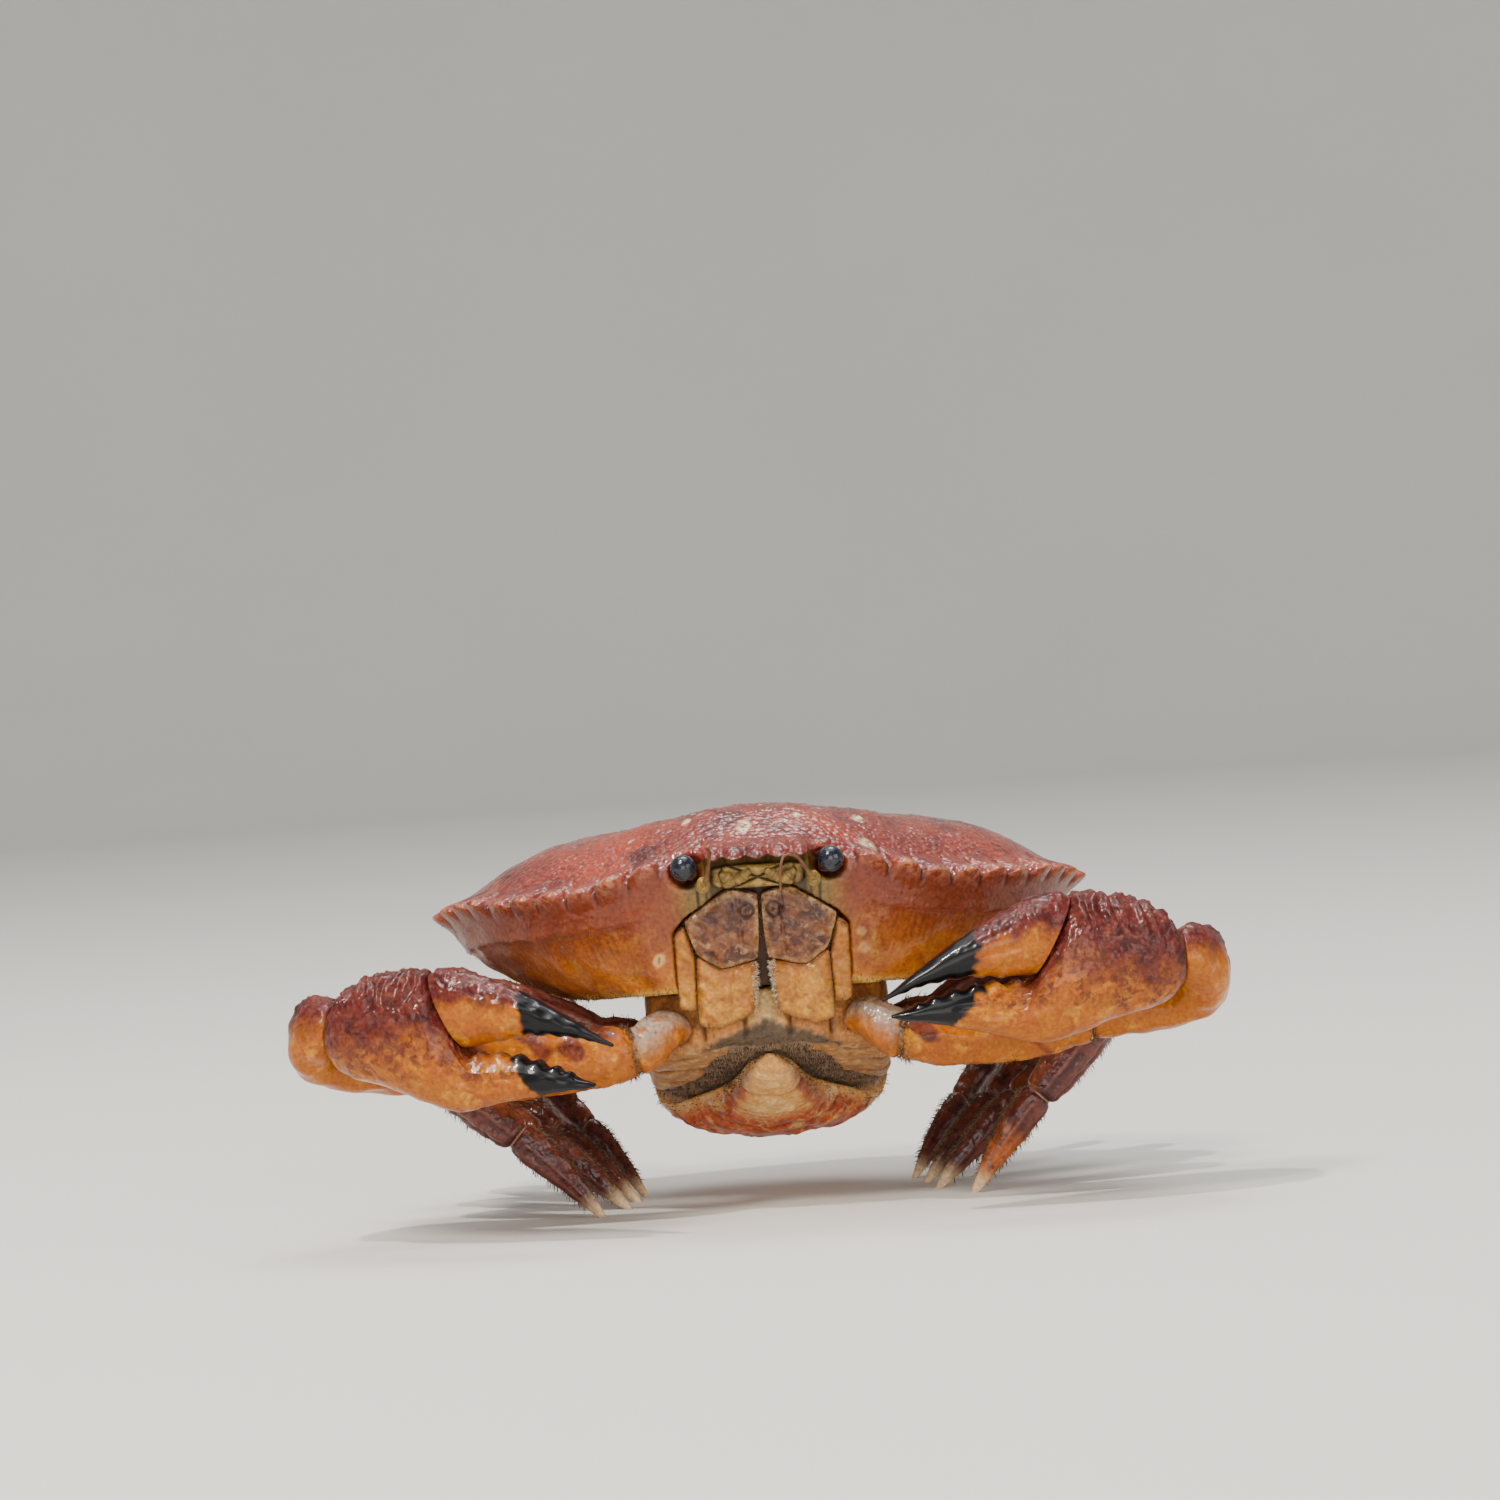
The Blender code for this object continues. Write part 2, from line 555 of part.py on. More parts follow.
def build_eye(name, side, cornea):
    """A turned eye: a short stalk out of its socket and a round globe."""
    profile = ((0.0, 0.0), (1.15, 0.0), (1.3, 1.4), (1.55, 1.9))
    globe_centre = 3.6
    angles = np.radians(np.linspace(-48.0, 90.0, 8))
    globe = [(EYE_RADIUS * math.cos(a), globe_centre + EYE_RADIUS * math.sin(a)) for a in angles]
    points = list(profile) + globe[:-1] + [(0.0, globe_centre + EYE_RADIUS)]
    mesh = bpy.data.meshes.new(name)
    verts = [(r * MM, 0.0, z * MM) for r, z in reversed(points)]
    mesh.from_pydata(verts, [(i, i + 1) for i in range(len(verts) - 1)], [])
    obj = new_object(name, mesh, cornea)
    turn = obj.modifiers.new("turn", "SCREW")
    turn.steps = 12
    turn.render_steps = 12
    turn.use_merge_vertices = True
    turn.merge_threshold = 0.00001
    flip = np.array((side, 1.0, 1.0))
    direction = unit(EYE_DIRECTION) * flip
    root = SOCKET_CENTRE * flip - direction * (SOCKET_RADIUS - GAP - 0.3)
    place = Matrix.Translation(root * MM) @ Vector(direction).to_track_quat("Z", "X").to_matrix().to_4x4()
    matrix = body_matrix()
    matrix.translation *= MM
    obj.matrix_world = matrix @ place
    return obj


def build_feeler(name, side, droop, skin):
    """A thin feeler on its swollen base, as a tapering tube along a bent line."""
    base = on_mouth(side * 9.7, -1.2, GAP)
    points = [
        (base, 1.0),
        (base + 0.7 * MOUTH_OUT, 1.05),
        (on_mouth(side * 9.6, -2.6, 1.7), 0.9),
        (on_mouth(side * 9.0, -3.4, 2.9), 0.5),
    ]
    points += [(np.array((side * x, y, z)), radius) for x, y, z, radius in droop]
    curve = bpy.data.curves.new(name, "CURVE")
    curve.dimensions = "3D"
    curve.bevel_depth = MM
    curve.bevel_resolution = 2
    curve.use_fill_caps = True
    spline = curve.splines.new("POLY")
    spline.points.add(len(points) - 1)
    for target, (point, radius) in zip(spline.points, points):
        target.co = (*(point * MM), 1.0)
        target.radius = radius
    curve.materials.append(skin)
    obj = bpy.data.objects.new(name, curve)
    bpy.data.collections["red_rock_crab"].objects.link(obj)
    return pitch_up(obj)


def build_mouthparts(skin, inner):
    """The flat plates that close the mouth: each side has an upper plate, a lower plate and a side strip."""
    pieces = (("merus", MERUS_PLATE, 0.0, inner), ("ischium", ISCHIUM_PLATE, 0.1, skin),
              ("exopod", EXOPOD_PLATE, -0.5, skin))
    for label, side in SIDES.items():
        for part, outline, rise, material in pieces:
            flipped = [(side * x, down) for x, down in outline]
            low = -MOUTH_DEPTH + GAP
            name = f"maxilliped_{label}_{part}"
            mesh = plate_mesh(name, flipped, on_mouth, low, low + PLATE_THICKNESS + rise)
            pitch_up(new_object(name, mesh, material))


def spine_curve(start, leave, end, arrive, shares):
    """Points and directions of a cubic curve whose handles suit a round bend."""
    start = np.asarray(start, float)
    end = np.asarray(end, float)
    leave = unit(leave)
    arrive = unit(arrive)
    bend = math.acos(max(-1.0, min(1.0, float(leave @ arrive))))
    chord = np.linalg.norm(end - start)
    handle = chord / 3.0
    if bend > 0.01:
        handle = 4.0 / 3.0 * math.tan(bend / 4.0) / (2.0 * math.sin(bend / 2.0)) * chord
    near = start + handle * leave
    far = end - handle * arrive
    t = np.asarray(shares)[:, None]
    points = start * (1 - t) ** 3 + 3 * near * t * (1 - t) ** 2 + 3 * far * t ** 2 * (1 - t) + end * t ** 3
    slopes = 3 * (near - start) * (1 - t) ** 2 + 6 * (far - near) * t * (1 - t) + 3 * (end - far) * t ** 2
    return points, slopes / np.linalg.norm(slopes, axis=1)[:, None]


def limb_rings(start, leave, end, arrive, side, sections, rings, scale, count=12, power=2.3):
    """Rings square to a bent centre line. Sections give share, half height and half width."""
    table = np.array(sections)
    shares = np.union1d(np.linspace(0.0, 1.0, rings), table[-2:, 0])
    sizes = smooth(table[:, 0], table[:, 1:], shares) * scale
    points, along = spine_curve(start, leave, end, arrive, shares)
    cos, sin = round_shares(count, power)
    result = []
    for point, tangent, (half_height, half_width) in zip(points, along, sizes):
        across = unit(side - np.dot(side, tangent) * tangent)
        up = np.cross(across, tangent)
        result.append(point + np.outer(cos * half_height, up) + np.outer(sin * half_width, across))
    return result


def heading(azimuth, slope, side):
    """A world direction by its turn back from straight sideways and its slope above level, in degrees."""
    turn = math.radians(azimuth)
    rise = math.radians(slope)
    return np.array((side * math.cos(turn) * math.cos(rise), math.sin(turn) * math.cos(rise), math.sin(rise)))


def leg_joints(root, azimuth, lift, lengths, side, fold):
    """Ends of one leg's four segments in the world, and the slope at which each one starts and ends."""
    merus, carpus, propodus, dactyl = lengths
    slopes = ((lift, lift, merus), (lift, fold, carpus), (fold, fold - 5.0, propodus),
              (fold - 5.0, fold + 8.0, dactyl))
    place = root
    segments = []
    for first, last, length in slopes:
        end = place + length * heading(azimuth, (first + last) / 2, side)
        segments.append((place, heading(azimuth, first, side), end, heading(azimuth, last, side)))
        place = end + GAP * heading(azimuth, last, side)
    return segments


def fold_to_floor(root, azimuth, lift, lengths, side):
    """The slope of the lower leg that brings its tip to the floor, found by halving."""
    low = -95.0
    high = -165.0
    for _ in range(40):
        middle = (low + high) / 2
        if leg_joints(root, azimuth, lift, lengths, side, middle)[-1][2][2] < 0.0:
            low = middle
        else:
            high = middle
    return low


def build_leg(label, side, number, shell):
    """One walking leg, from the thorax's side to a tip that is cut level on the floor."""
    index = number - 1
    root = to_world((side * (THORAX_HALF_WIDTH + GAP), LEG_ROOT_Y[index], LEG_ROOT_Z[index]))
    azimuth = LEG_AZIMUTH[index]
    lift = LEG_LIFT[label][index]
    fold = fold_to_floor(root, azimuth, lift, LEG_LENGTHS[index], side)
    segments = leg_joints(root, azimuth, lift, LEG_LENGTHS[index], side, fold)
    tables = (("merus", LEG_MERUS, 10), ("carpus", LEG_CARPUS, 6), ("propodus", LEG_PROPODUS, 6),
              ("dactyl", LEG_DACTYL, 7))
    across = np.cross(heading(azimuth, 0.0, side), (0.0, 0.0, 1.0))
    for (part, sections, rings), (start, leave, end, arrive) in zip(tables, segments):
        if part == "merus":
            leave = np.array((side, 0.0, 0.0))
        loops = limb_rings(start, leave, end, arrive, across, sections, rings, LEG_SCALE[index], 10)
        if part == "dactyl":
            tip = loops[-1]
            loops[-1] = tip - np.outer(tip[:, 2] / arrive[2], arrive)
            loops[-1][:, 2] = 0.0
        name = f"leg_{label}_{number}_{part}"
        new_object(name, loft_mesh(name, loops), shell)


def claw_axes(side, yaw, dip):
    """World directions of a claw: along to its tip, up and through its thickness."""
    turn = math.radians(yaw)
    along = np.array((-side * math.cos(turn), -math.sin(turn), 0.0))
    up = np.array((0.0, 0.0, 1.0))
    drop = math.radians(dip)
    tilted = along * math.cos(drop) - up * math.sin(drop)
    raised = along * math.sin(drop) + up * math.cos(drop)
    return tilted, raised, np.cross(tilted, raised)


def slab_rings(rows, refine, count, power):
    """Rings across a claw profile, as points along, up and through it."""
    table = np.array([(*upper, *lower, half) for upper, lower, half in rows])
    shares = np.linspace(0.0, len(table) - 1.0, refine)
    cos, sin = round_shares(count, power)
    rings = []
    for u_top, v_top, u_low, v_low, half in smooth(np.arange(len(table)), table, shares):
        middle = np.array((u_top + u_low, v_top + v_low)) / 2
        reach = np.array((u_top - u_low, v_top - v_low)) / 2
        rings.append(np.column_stack((middle + np.outer(cos, reach), sin * half)))
    return rings


def opened(rings, degrees):
    """Swings a finger's rings about the hinge, easing in over the first rings so that its base stays put."""
    pivot = np.array(HINGE)
    result = []
    for i, ring in enumerate(rings):
        ease = min(1.0, i / 3.0)
        turn = math.radians(degrees) * ease
        rotate = np.array(((math.cos(turn), -math.sin(turn)), (math.sin(turn), math.cos(turn))))
        flat = pivot + (ring[:, :2] - pivot) @ rotate.T
        result.append(np.column_stack((flat, ring[:, 2])))
    return result



def build_claw(label, side, shell, tip_shell):
    """The palm with its fixed finger, and the moving finger hinged at its upper corner."""
    wrist, yaw, dip, opening, size, _ = CLAWS[label]
    along, up, through = claw_axes(side, yaw, dip)

    def place(ring):
        return stand(*wrist) + size * ring @ np.array((along, up, through))

    palm_rings = slab_rings(PALM_ROWS, 27, 14, 2.3)
    finger_rings = opened(slab_rings(FINGER_ROWS, 16, 12, 2.1), opening)
    for part, rings, teeth_u, edge, material in (
        ("palm", palm_rings, PALM_TEETH_U, 0, shell),
        ("finger", finger_rings, FINGER_TEETH_U, 6, tip_shell),
    ):
        name = f"claw_{label}_{part}"
        obj = new_object(name, loft_mesh(name, [place(ring) for ring in rings]), material)
        cutting = np.array([ring[edge, :2] for ring in rings[1:]])
        if part == "palm":
            cutting = cutting[cutting[:, 0] > 28.0]
        teeth = []
        for u in teeth_u:
            v = np.interp(u, cutting[:, 0], cutting[:, 1])
            centre = place(np.array(((u, v, 0.0),)))[0]
            outward = up if part == "palm" else -up
            teeth.append(knob_mesh("claw_tooth", centre, outward, along, 0.7, CLAW_TOOTH_RADIUS, 1.0, 1.2))
        combine(obj, teeth, "UNION")


def build_claw_arm(label, side, shell):
    """The arm of a claw: coxa off the thorax's facet, merus out to the elbow, carpus round to the wrist."""
    wrist, yaw, dip, _, size, forearm = CLAWS[label]
    wrist = stand(*wrist)
    along = claw_axes(side, yaw, dip)[0]
    (near_x, near_y), (far_x, far_y) = THORAX_FACET
    facet = np.array((side * (near_x + far_x) / 2, (near_y + far_y) / 2, COXA_HEIGHT))
    facet_out = unit(np.array((side * (far_y - near_y), near_x - far_x, 0.0)))
    coxa_start = to_world(facet + GAP * facet_out)
    elbow = wrist - np.array(forearm)
    flip = np.array((side, 1.0, 1.0))
    coxa_end = stand(*(COXA_END * flip))
    droop = unit(COXA_DROOP) * flip
    reach = unit(ARM_REACH) * flip
    level = np.array((0.0, 1.0, 0.0))
    rings = limb_rings(coxa_start, turned(facet_out), coxa_end, droop, level, COXA_SECTIONS, 6, 1.0)
    new_object(f"claw_{label}_coxa", loft_mesh("coxa", rings), shell)
    rings = limb_rings(coxa_end + GAP * droop, droop, elbow, reach, level, ARM_SECTIONS, 8, 1.0)
    new_object(f"claw_{label}_merus", loft_mesh("merus", rings), shell)
    rings = carpus_rings(elbow + GAP * reach, reach, wrist - GAP * along, -along, size)
    new_object(f"claw_{label}_carpus", loft_mesh("carpus", rings), shell)


def carpus_rings(elbow, reach, wrist, outward, size):
    """A knuckle swept round a half turn: each ring reaches out from an inner corner between its two faces."""
    elbow_reach, elbow_height = CARPUS_ELBOW
    wrist_reach = CARPUS_WRIST * size
    across = unit(wrist - elbow - np.dot(wrist - elbow, reach) * reach)
    first = elbow + elbow_reach * across
    travel = wrist - wrist_reach * unit(across - np.dot(across, outward) * outward) - first
    straight = np.dot(travel, reach) * reach
    cos, sin = round_shares(12, 2.4)
    result = []
    for share in np.linspace(0.0, 1.0, 9):
        angle = share * math.pi
        swell = math.sin(angle)
        face = unit(reach * (1 - share) + outward * share)
        back = -unit(across - np.dot(across, face) * face)
        radial = back * math.cos(angle) + face * swell
        half_reach = elbow_reach * (1 - share) + wrist_reach * share + CARPUS_REACH_SWELL * swell
        half_height = elbow_height * (1 - share) + wrist_reach * share + CARPUS_SWELL * swell
        corner = first + straight * (1 - (1 - share) ** 3) + (travel - straight) * share ** 2.5
        centre = corner + radial * half_reach
        sideways = np.cross(face, back)
        result.append(centre + np.outer(cos * half_reach, radial) + np.outer(sin * half_height, sideways))
    return result


def main():
    """Builds every part of the crab."""
    clear_scene()
    bpy.context.scene.collection.children.link(bpy.data.collections.new("red_rock_crab"))
    red_shell = paint("wet_red_shell", (0.16, 0.035, 0.028), 0.25)
    orange_shell = paint("orange_shell", (0.48, 0.12, 0.03), 0.3)
    tan_shell = paint("yellow_tan_shell", (0.42, 0.22, 0.06), 0.35)
    mauve_shell = paint("mauve_brown_shell", (0.2, 0.09, 0.08), 0.35)
    black_shell = paint("black_tip_shell", (0.02, 0.02, 0.028), 0.2)
    cream_skin = paint("cream_abdomen", (0.62, 0.45, 0.2), 0.4)
    dark_skin = paint("brown_thorax", (0.1, 0.07, 0.05), 0.7)
    cornea = paint("blue_grey_cornea", (0.03, 0.04, 0.06), 0.1)
    build_carapace(red_shell)
    build_thorax(dark_skin)
    build_abdomen(cream_skin)
    build_face(tan_shell)
    build_mouthparts(orange_shell, mauve_shell)
    for label, side in SIDES.items():
        build_eye(f"eye_{label}", side, cornea)
        build_feeler(f"antenna_{label}", side, FEELER_DROOPS[label], tan_shell)
        build_claw(label, side, red_shell, black_shell)
        build_claw_arm(label, side, orange_shell)
        for number in (1, 2, 3, 4):
            build_leg(label, side, number, red_shell)


main()
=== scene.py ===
"""The looks of a life-size red rock crab: wet shell, mouthparts, claws, legs and bristles over its solids.

Lengths are millimetres until a mesh is made, and meshes are metres. +Z is up, the crab faces -Y and its left
side is +X. Body shapes are worked out in a body frame (x to the crab's left, y from the front margin to the
rear, z up through the back), which is then pitched nose up. Claws and legs are worked out in the world frame.
"""

from __future__ import annotations

import logging
import math
from dataclasses import dataclass, field
from enum import Enum

import bpy
import numpy as np
from mathutils import Matrix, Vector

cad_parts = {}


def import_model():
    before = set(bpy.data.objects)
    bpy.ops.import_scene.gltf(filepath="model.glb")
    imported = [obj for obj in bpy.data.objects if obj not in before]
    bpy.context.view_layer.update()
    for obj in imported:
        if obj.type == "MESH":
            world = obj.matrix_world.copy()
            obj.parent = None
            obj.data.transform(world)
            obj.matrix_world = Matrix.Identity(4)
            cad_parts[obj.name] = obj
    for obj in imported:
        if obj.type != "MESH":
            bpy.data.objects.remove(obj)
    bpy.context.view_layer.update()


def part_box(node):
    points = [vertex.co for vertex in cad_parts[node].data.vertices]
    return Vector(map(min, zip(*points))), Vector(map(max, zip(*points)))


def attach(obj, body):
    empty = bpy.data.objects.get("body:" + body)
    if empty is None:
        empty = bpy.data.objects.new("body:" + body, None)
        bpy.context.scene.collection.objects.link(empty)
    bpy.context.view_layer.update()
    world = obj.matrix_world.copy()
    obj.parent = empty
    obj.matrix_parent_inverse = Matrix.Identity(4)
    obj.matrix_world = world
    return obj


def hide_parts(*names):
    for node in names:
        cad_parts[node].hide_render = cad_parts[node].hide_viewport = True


LOG = logging.getLogger("red_rock_crab")
MM = 0.001
GAP = 0.3
LEAST = 1e-9
Array = np.ndarray
Point = tuple[float, float, float]
Numbers = tuple[float, ...]
Table = tuple[Numbers, ...]


class Side(Enum):
    """The crab's own sides, each with the sign of x there."""

    LEFT = 1.0
    RIGHT = -1.0

    @property
    def label(self) -> str:
        """The side's word in the names of the solids."""
        return self.name.lower()

    @property
    def flip(self) -> Array:
        """The factors that carry a point of the left side to this one."""
        return np.array((self.value, 1.0, 1.0))


class LegPart(Enum):
    """The four segments of a walking leg, from the body outwards."""

    MERUS = 0
    CARPUS = 1
    PROPODUS = 2
    DACTYL = 3


def unit(vectors: Array) -> Array:
    """Every vector at length one, along the last axis."""
    vectors = np.asarray(vectors, float)
    return vectors / np.maximum(np.linalg.norm(vectors, axis=-1, keepdims=True), LEAST)


def ease(low: float, high: float, value: Array) -> Array:
    """A soft step from 0 at low to 1 at high: three squares less two cubes of the share between."""
    share = np.clip((value - low) / (high - low), 0.0, 1.0)
    return share * share * (3.0 - 2.0 * share)


def between(start: float, full: float, last: float, end: float, value: Array) -> Array:
    """A soft step up from start to full, times a soft step down from last to end."""
    return ease(start, full, value) * ease(end, last, value)


def bell(distance: Array, width: Array | float) -> Array:
    """One at zero, falling as the exponential of minus the squared distance over the width."""
    return np.exp(-((np.asarray(distance) / width) ** 2))


def smooth(table_x: Array, table_y: Array, x: Array) -> Array:
    """A smooth curve through a table: a cubic on each stretch, with slopes from its neighbours.

    Args:
        table_x: rising places.
        table_y: the value, or row of values, at each place.
        x: places to read.

    Returns:
        The values at x, one row for each.
    """
    table_x = np.asarray(table_x, float)
    table_y = np.asarray(table_y, float)
    slopes = np.gradient(table_y, table_x, axis=0)
    x = np.atleast_1d(np.asarray(x, float))
    i = np.clip(np.searchsorted(table_x, x) - 1, 0, len(table_x) - 2)
    step = table_x[i + 1] - table_x[i]
    t = (x - table_x[i]) / step
    if table_y.ndim > 1:
        step = step[:, None]
        t = t[:, None]
    start = table_y[i] * (1 + 2 * t) * (1 - t) ** 2 + slopes[i] * step * t * (1 - t) ** 2
    end = table_y[i + 1] * (3 - 2 * t) * t ** 2 - slopes[i + 1] * step * (1 - t) * t ** 2
    return start + end


def turns(count: int) -> Array:
    """Equal angles once round, from zero."""
    return np.linspace(0.0, math.tau, count, endpoint=False)


def squared(value: Array, power: float) -> Array:
    """A cosine or sine as a superellipse has it: its size raised to two over the power, its sign kept."""
    return np.sign(value) * np.abs(value) ** (2 / power)


def round_shares(count: int, power: float) -> tuple[Array, Array]:
    """Cosine and sine of a closed superellipse at equal angles."""
    return squared(np.cos(turns(count)), power), squared(np.sin(turns(count)), power)


def hoop(along: Array, aside: Point, count: int) -> Array:
    """Unit circles square to directions.

    Args:
        along: the unit direction through each circle's middle.
        aside: a direction that none of them has.
        count: how many points to a circle.

    Returns:
        One ring of unit vectors to a direction.
    """
    across = unit(np.cross(along, aside))
    other = np.cross(along, across)
    turn = turns(count)
    return across[..., None, :] * np.cos(turn)[:, None] + other[..., None, :] * np.sin(turn)[:, None]


def even_outline(corners: Array, cuts: Numbers, count: int) -> Array:
    """A closed outline with its corners cut in rounds, then spaced evenly along its length.

    Args:
        corners: the outline's corners.
        cuts: the share of each edge that a round of cuts takes.
        count: how many points.

    Returns:
        The points, two measures to each.
    """
    points = np.asarray(corners, float)
    for share in cuts:
        after = np.roll(points, -1, axis=0)
        points = np.stack(((1 - share) * points + share * after,
                           share * points + (1 - share) * after), axis=1).reshape(-1, 2)
    closed = np.vstack((points, points[:1]))
    walked = np.concatenate(([0.0], np.cumsum(np.linalg.norm(np.diff(closed, axis=0), axis=1))))
    even = np.linspace(0.0, walked[-1], count, endpoint=False)
    return np.stack([np.interp(even, walked, closed[:, k]) for k in (0, 1)], axis=-1)


def ripple(points: Array, size: float, seed: int, waves: int = 9) -> Array:
    """A smooth random height of about -1 to 1: the mean of cosine waves in random directions.

    Args:
        points: places in millimetres, with x, y and z on the last axis.
        size: the usual length of a wave in millimetres.
        seed: picks the directions and phases.
        waves: how many waves are added.

    Returns:
        One height for each place.
    """
    draw = np.random.default_rng(seed)
    numbers = unit(draw.normal(size=(waves, 3))) * draw.uniform(0.7, 1.5, (waves, 1)) * math.tau / size
    phase = draw.uniform(0.0, math.tau, waves)
    return np.cos(points @ numbers.T + phase).sum(axis=-1) / math.sqrt(waves)


def granules(points: Array, pitch: float, seed: int) -> Array:
    """Rounded grains on a wavy lattice: the product of three cosines where it is above zero.

    Args:
        points: places in millimetres.
        pitch: distance between grains in millimetres.
        seed: picks how the lattice bends.

    Returns:
        A height of 0 to 1 for each place.
    """
    bent = points + 0.45 * pitch * np.stack(
        [ripple(points, 3.1 * pitch, seed + k) for k in range(3)], axis=-1)
    waves = np.cos(bent * (math.tau / pitch / 1.4))
    return np.maximum(waves[..., 0] * waves[..., 1] * waves[..., 2] + 0.25, 0.0) / 1.25


@dataclass(frozen=True)
class BodyFrame:
    """The body's pitch and height, and the shift that puts the model's middle over its origin."""

    shift_x: float
    shift_y: float
    pitch: float = math.radians(18.0)
    margin_height: float = 64.0
    pivot_y: float = 37.0

    @classmethod
    def from_boxes(cls) -> BodyFrame:
        """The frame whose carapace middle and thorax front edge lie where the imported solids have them.

        Returns:
            The frame.
        """
        level = cls(0.0, 0.0)
        carapace = np.array(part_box("carapace")) / MM
        thorax = np.array(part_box("thorax")) / MM
        edge = level.world((0.0, Thorax.front_y, Thorax.side_z))
        return cls(-float(carapace[:, 0].mean()), float(edge[1] - thorax[0, 1]))

    def turn(self, vectors: Array) -> Array:
        """Body directions in the world: turned about x by the pitch, nose up.

        Args:
            vectors: directions in the body frame.

        Returns:
            The same directions in the world.
        """
        cos = math.cos(self.pitch)
        sin = math.sin(self.pitch)
        x, y, z = np.moveaxis(np.asarray(vectors, float), -1, 0)
        return np.stack((x, y * cos + z * sin, z * cos - y * sin), axis=-1)

    def world(self, points: Array | Point) -> Array:
        """Body points in the world: turned, then lifted so that the front margin is at its height."""
        lift = (-self.shift_x, -self.pivot_y * math.cos(self.pitch) - self.shift_y, self.margin_height)
        return self.turn(points) + lift

    def placed(self, sheet: Sheet) -> Sheet:
        """A skin of the body frame, in the world."""
        return Sheet(self.world(sheet.points), sheet.values)

    def stand(self, point: Point) -> Array:
        """A world point as the claws' sizes give it, moved by the model's shift."""
        return np.array(point) - (self.shift_x, self.shift_y, 0.0)


@dataclass
class Sheet:
    """A closed skin as rings of points in millimetres, with named values at each point."""

    points: Array
    values: dict[str, Array] = field(default_factory=dict)

    def normals(self) -> Array:
        """Outward directions: the cross product of the steps round and along the rings.

        Returns:
            One unit vector to a point.
        """
        along = np.gradient(self.points, axis=0)
        around = np.roll(self.points, -1, axis=1) - np.roll(self.points, 1, axis=1)
        normal = unit(np.cross(around, along))
        outward = self.points - self.points.mean(axis=1, keepdims=True)
        return normal if np.sum(normal * outward) >= 0.0 else -normal

    def raised(self, height: Array) -> Sheet:
        """The same skin with each point moved along its normal by a height."""
        return Sheet(self.points + self.normals() * height[..., None], self.values)

    def closed(self) -> Sheet:
        """The same skin with each open end drawn in to the middle of its last ring.

        Returns:
            The closed skin.
        """
        points = self.points
        values = self.values
        for end, pad in ((0, (1, 0)), (-1, (0, 1))):
            ring = points[end]
            if np.ptp(ring, axis=0).max() < 1e-6:
                continue
            points = np.pad(points, (pad, (0, 0), (0, 0)), "edge")
            points[end] = ring.mean(axis=0)
            values = {name: np.pad(value, (pad, (0, 0)), "edge") for name, value in values.items()}
        return Sheet(points, values)

    def faces(self) -> tuple[Array, Array, Array, dict[str, Array]]:
        """The skin as vertices, four-sided faces, end triangles and one row of values each.

        Returns:
            The vertices, the quads and the triangles as vertex numbers, and the named values.
        """
        rings, around = self.points.shape[:2]
        count = (rings - 2) * around
        vertices = np.concatenate((self.points[0, :1], self.points[1:-1].reshape(-1, 3), self.points[-1, :1]))
        index = np.zeros((rings, around), int)
        index[1:-1] = 1 + np.arange(count).reshape(rings - 2, around)
        index[-1] = 1 + count
        after = np.roll(index, -1, axis=1)
        quads = np.stack((index[1:-2], after[1:-2], after[2:-1], index[2:-1]), axis=-1).reshape(-1, 4)
        ends = np.concatenate((np.stack((index[0], after[1], index[1]), axis=-1),
                               np.stack((index[-2], after[-2], index[-1]), axis=-1)))
        corners = np.concatenate((quads[:, :3], quads[:, (0, 2, 3)], ends))
        a, b, c = vertices[corners[:, 0]], vertices[corners[:, 1]], vertices[corners[:, 2]]
        if np.sum(a * np.cross(b, c)) < 0.0:
            quads = quads[:, ::-1]
            ends = ends[:, ::-1]
        values = {name: np.concatenate((value[0, :1], value[1:-1].reshape(-1), value[-1, :1]))
                  for name, value in self.values.items()}
        return vertices, quads, ends, values


def linear(colour: str) -> tuple[float, float, float, float]:
    """An sRGB hex colour as linear light, with full opacity."""
    parts = [int(colour[i:i + 2], 16) / 255.0 for i in (1, 3, 5)]
    return (*(v / 12.92 if v <= 0.04045 else ((v + 0.055) / 1.055) ** 2.4 for v in parts), 1.0)


def add_node(tree: bpy.types.NodeTree, kind: str, values: dict | None = None, links: dict | None = None,
             **settings: object) -> bpy.types.Node:
    """Adds one node.

    Args:
        tree: the node tree it goes into.
        kind: Blender's name of the node.
        values: numbers or colours on its input sockets.
        links: output sockets that lead to its input sockets.
        settings: the node's own settings.

    Returns:
        The new node.
    """
    node = tree.nodes.new(kind)
    for name, value in settings.items():
        setattr(node, name, value)
    for name, value in (values or {}).items():
        node.inputs[name].default_value = value
    for name, socket in (links or {}).items():
        tree.links.new(socket, node.inputs[name])
    return node


@dataclass(frozen=True)
class Stain:
    """One colour laid over a finish, where a painted value and a blotch pattern both let it through."""

    colour: str
    where: str = ""
    size: float = 0.0
    low: float = 0.45
    high: float = 0.6
    amount: float = 1.0


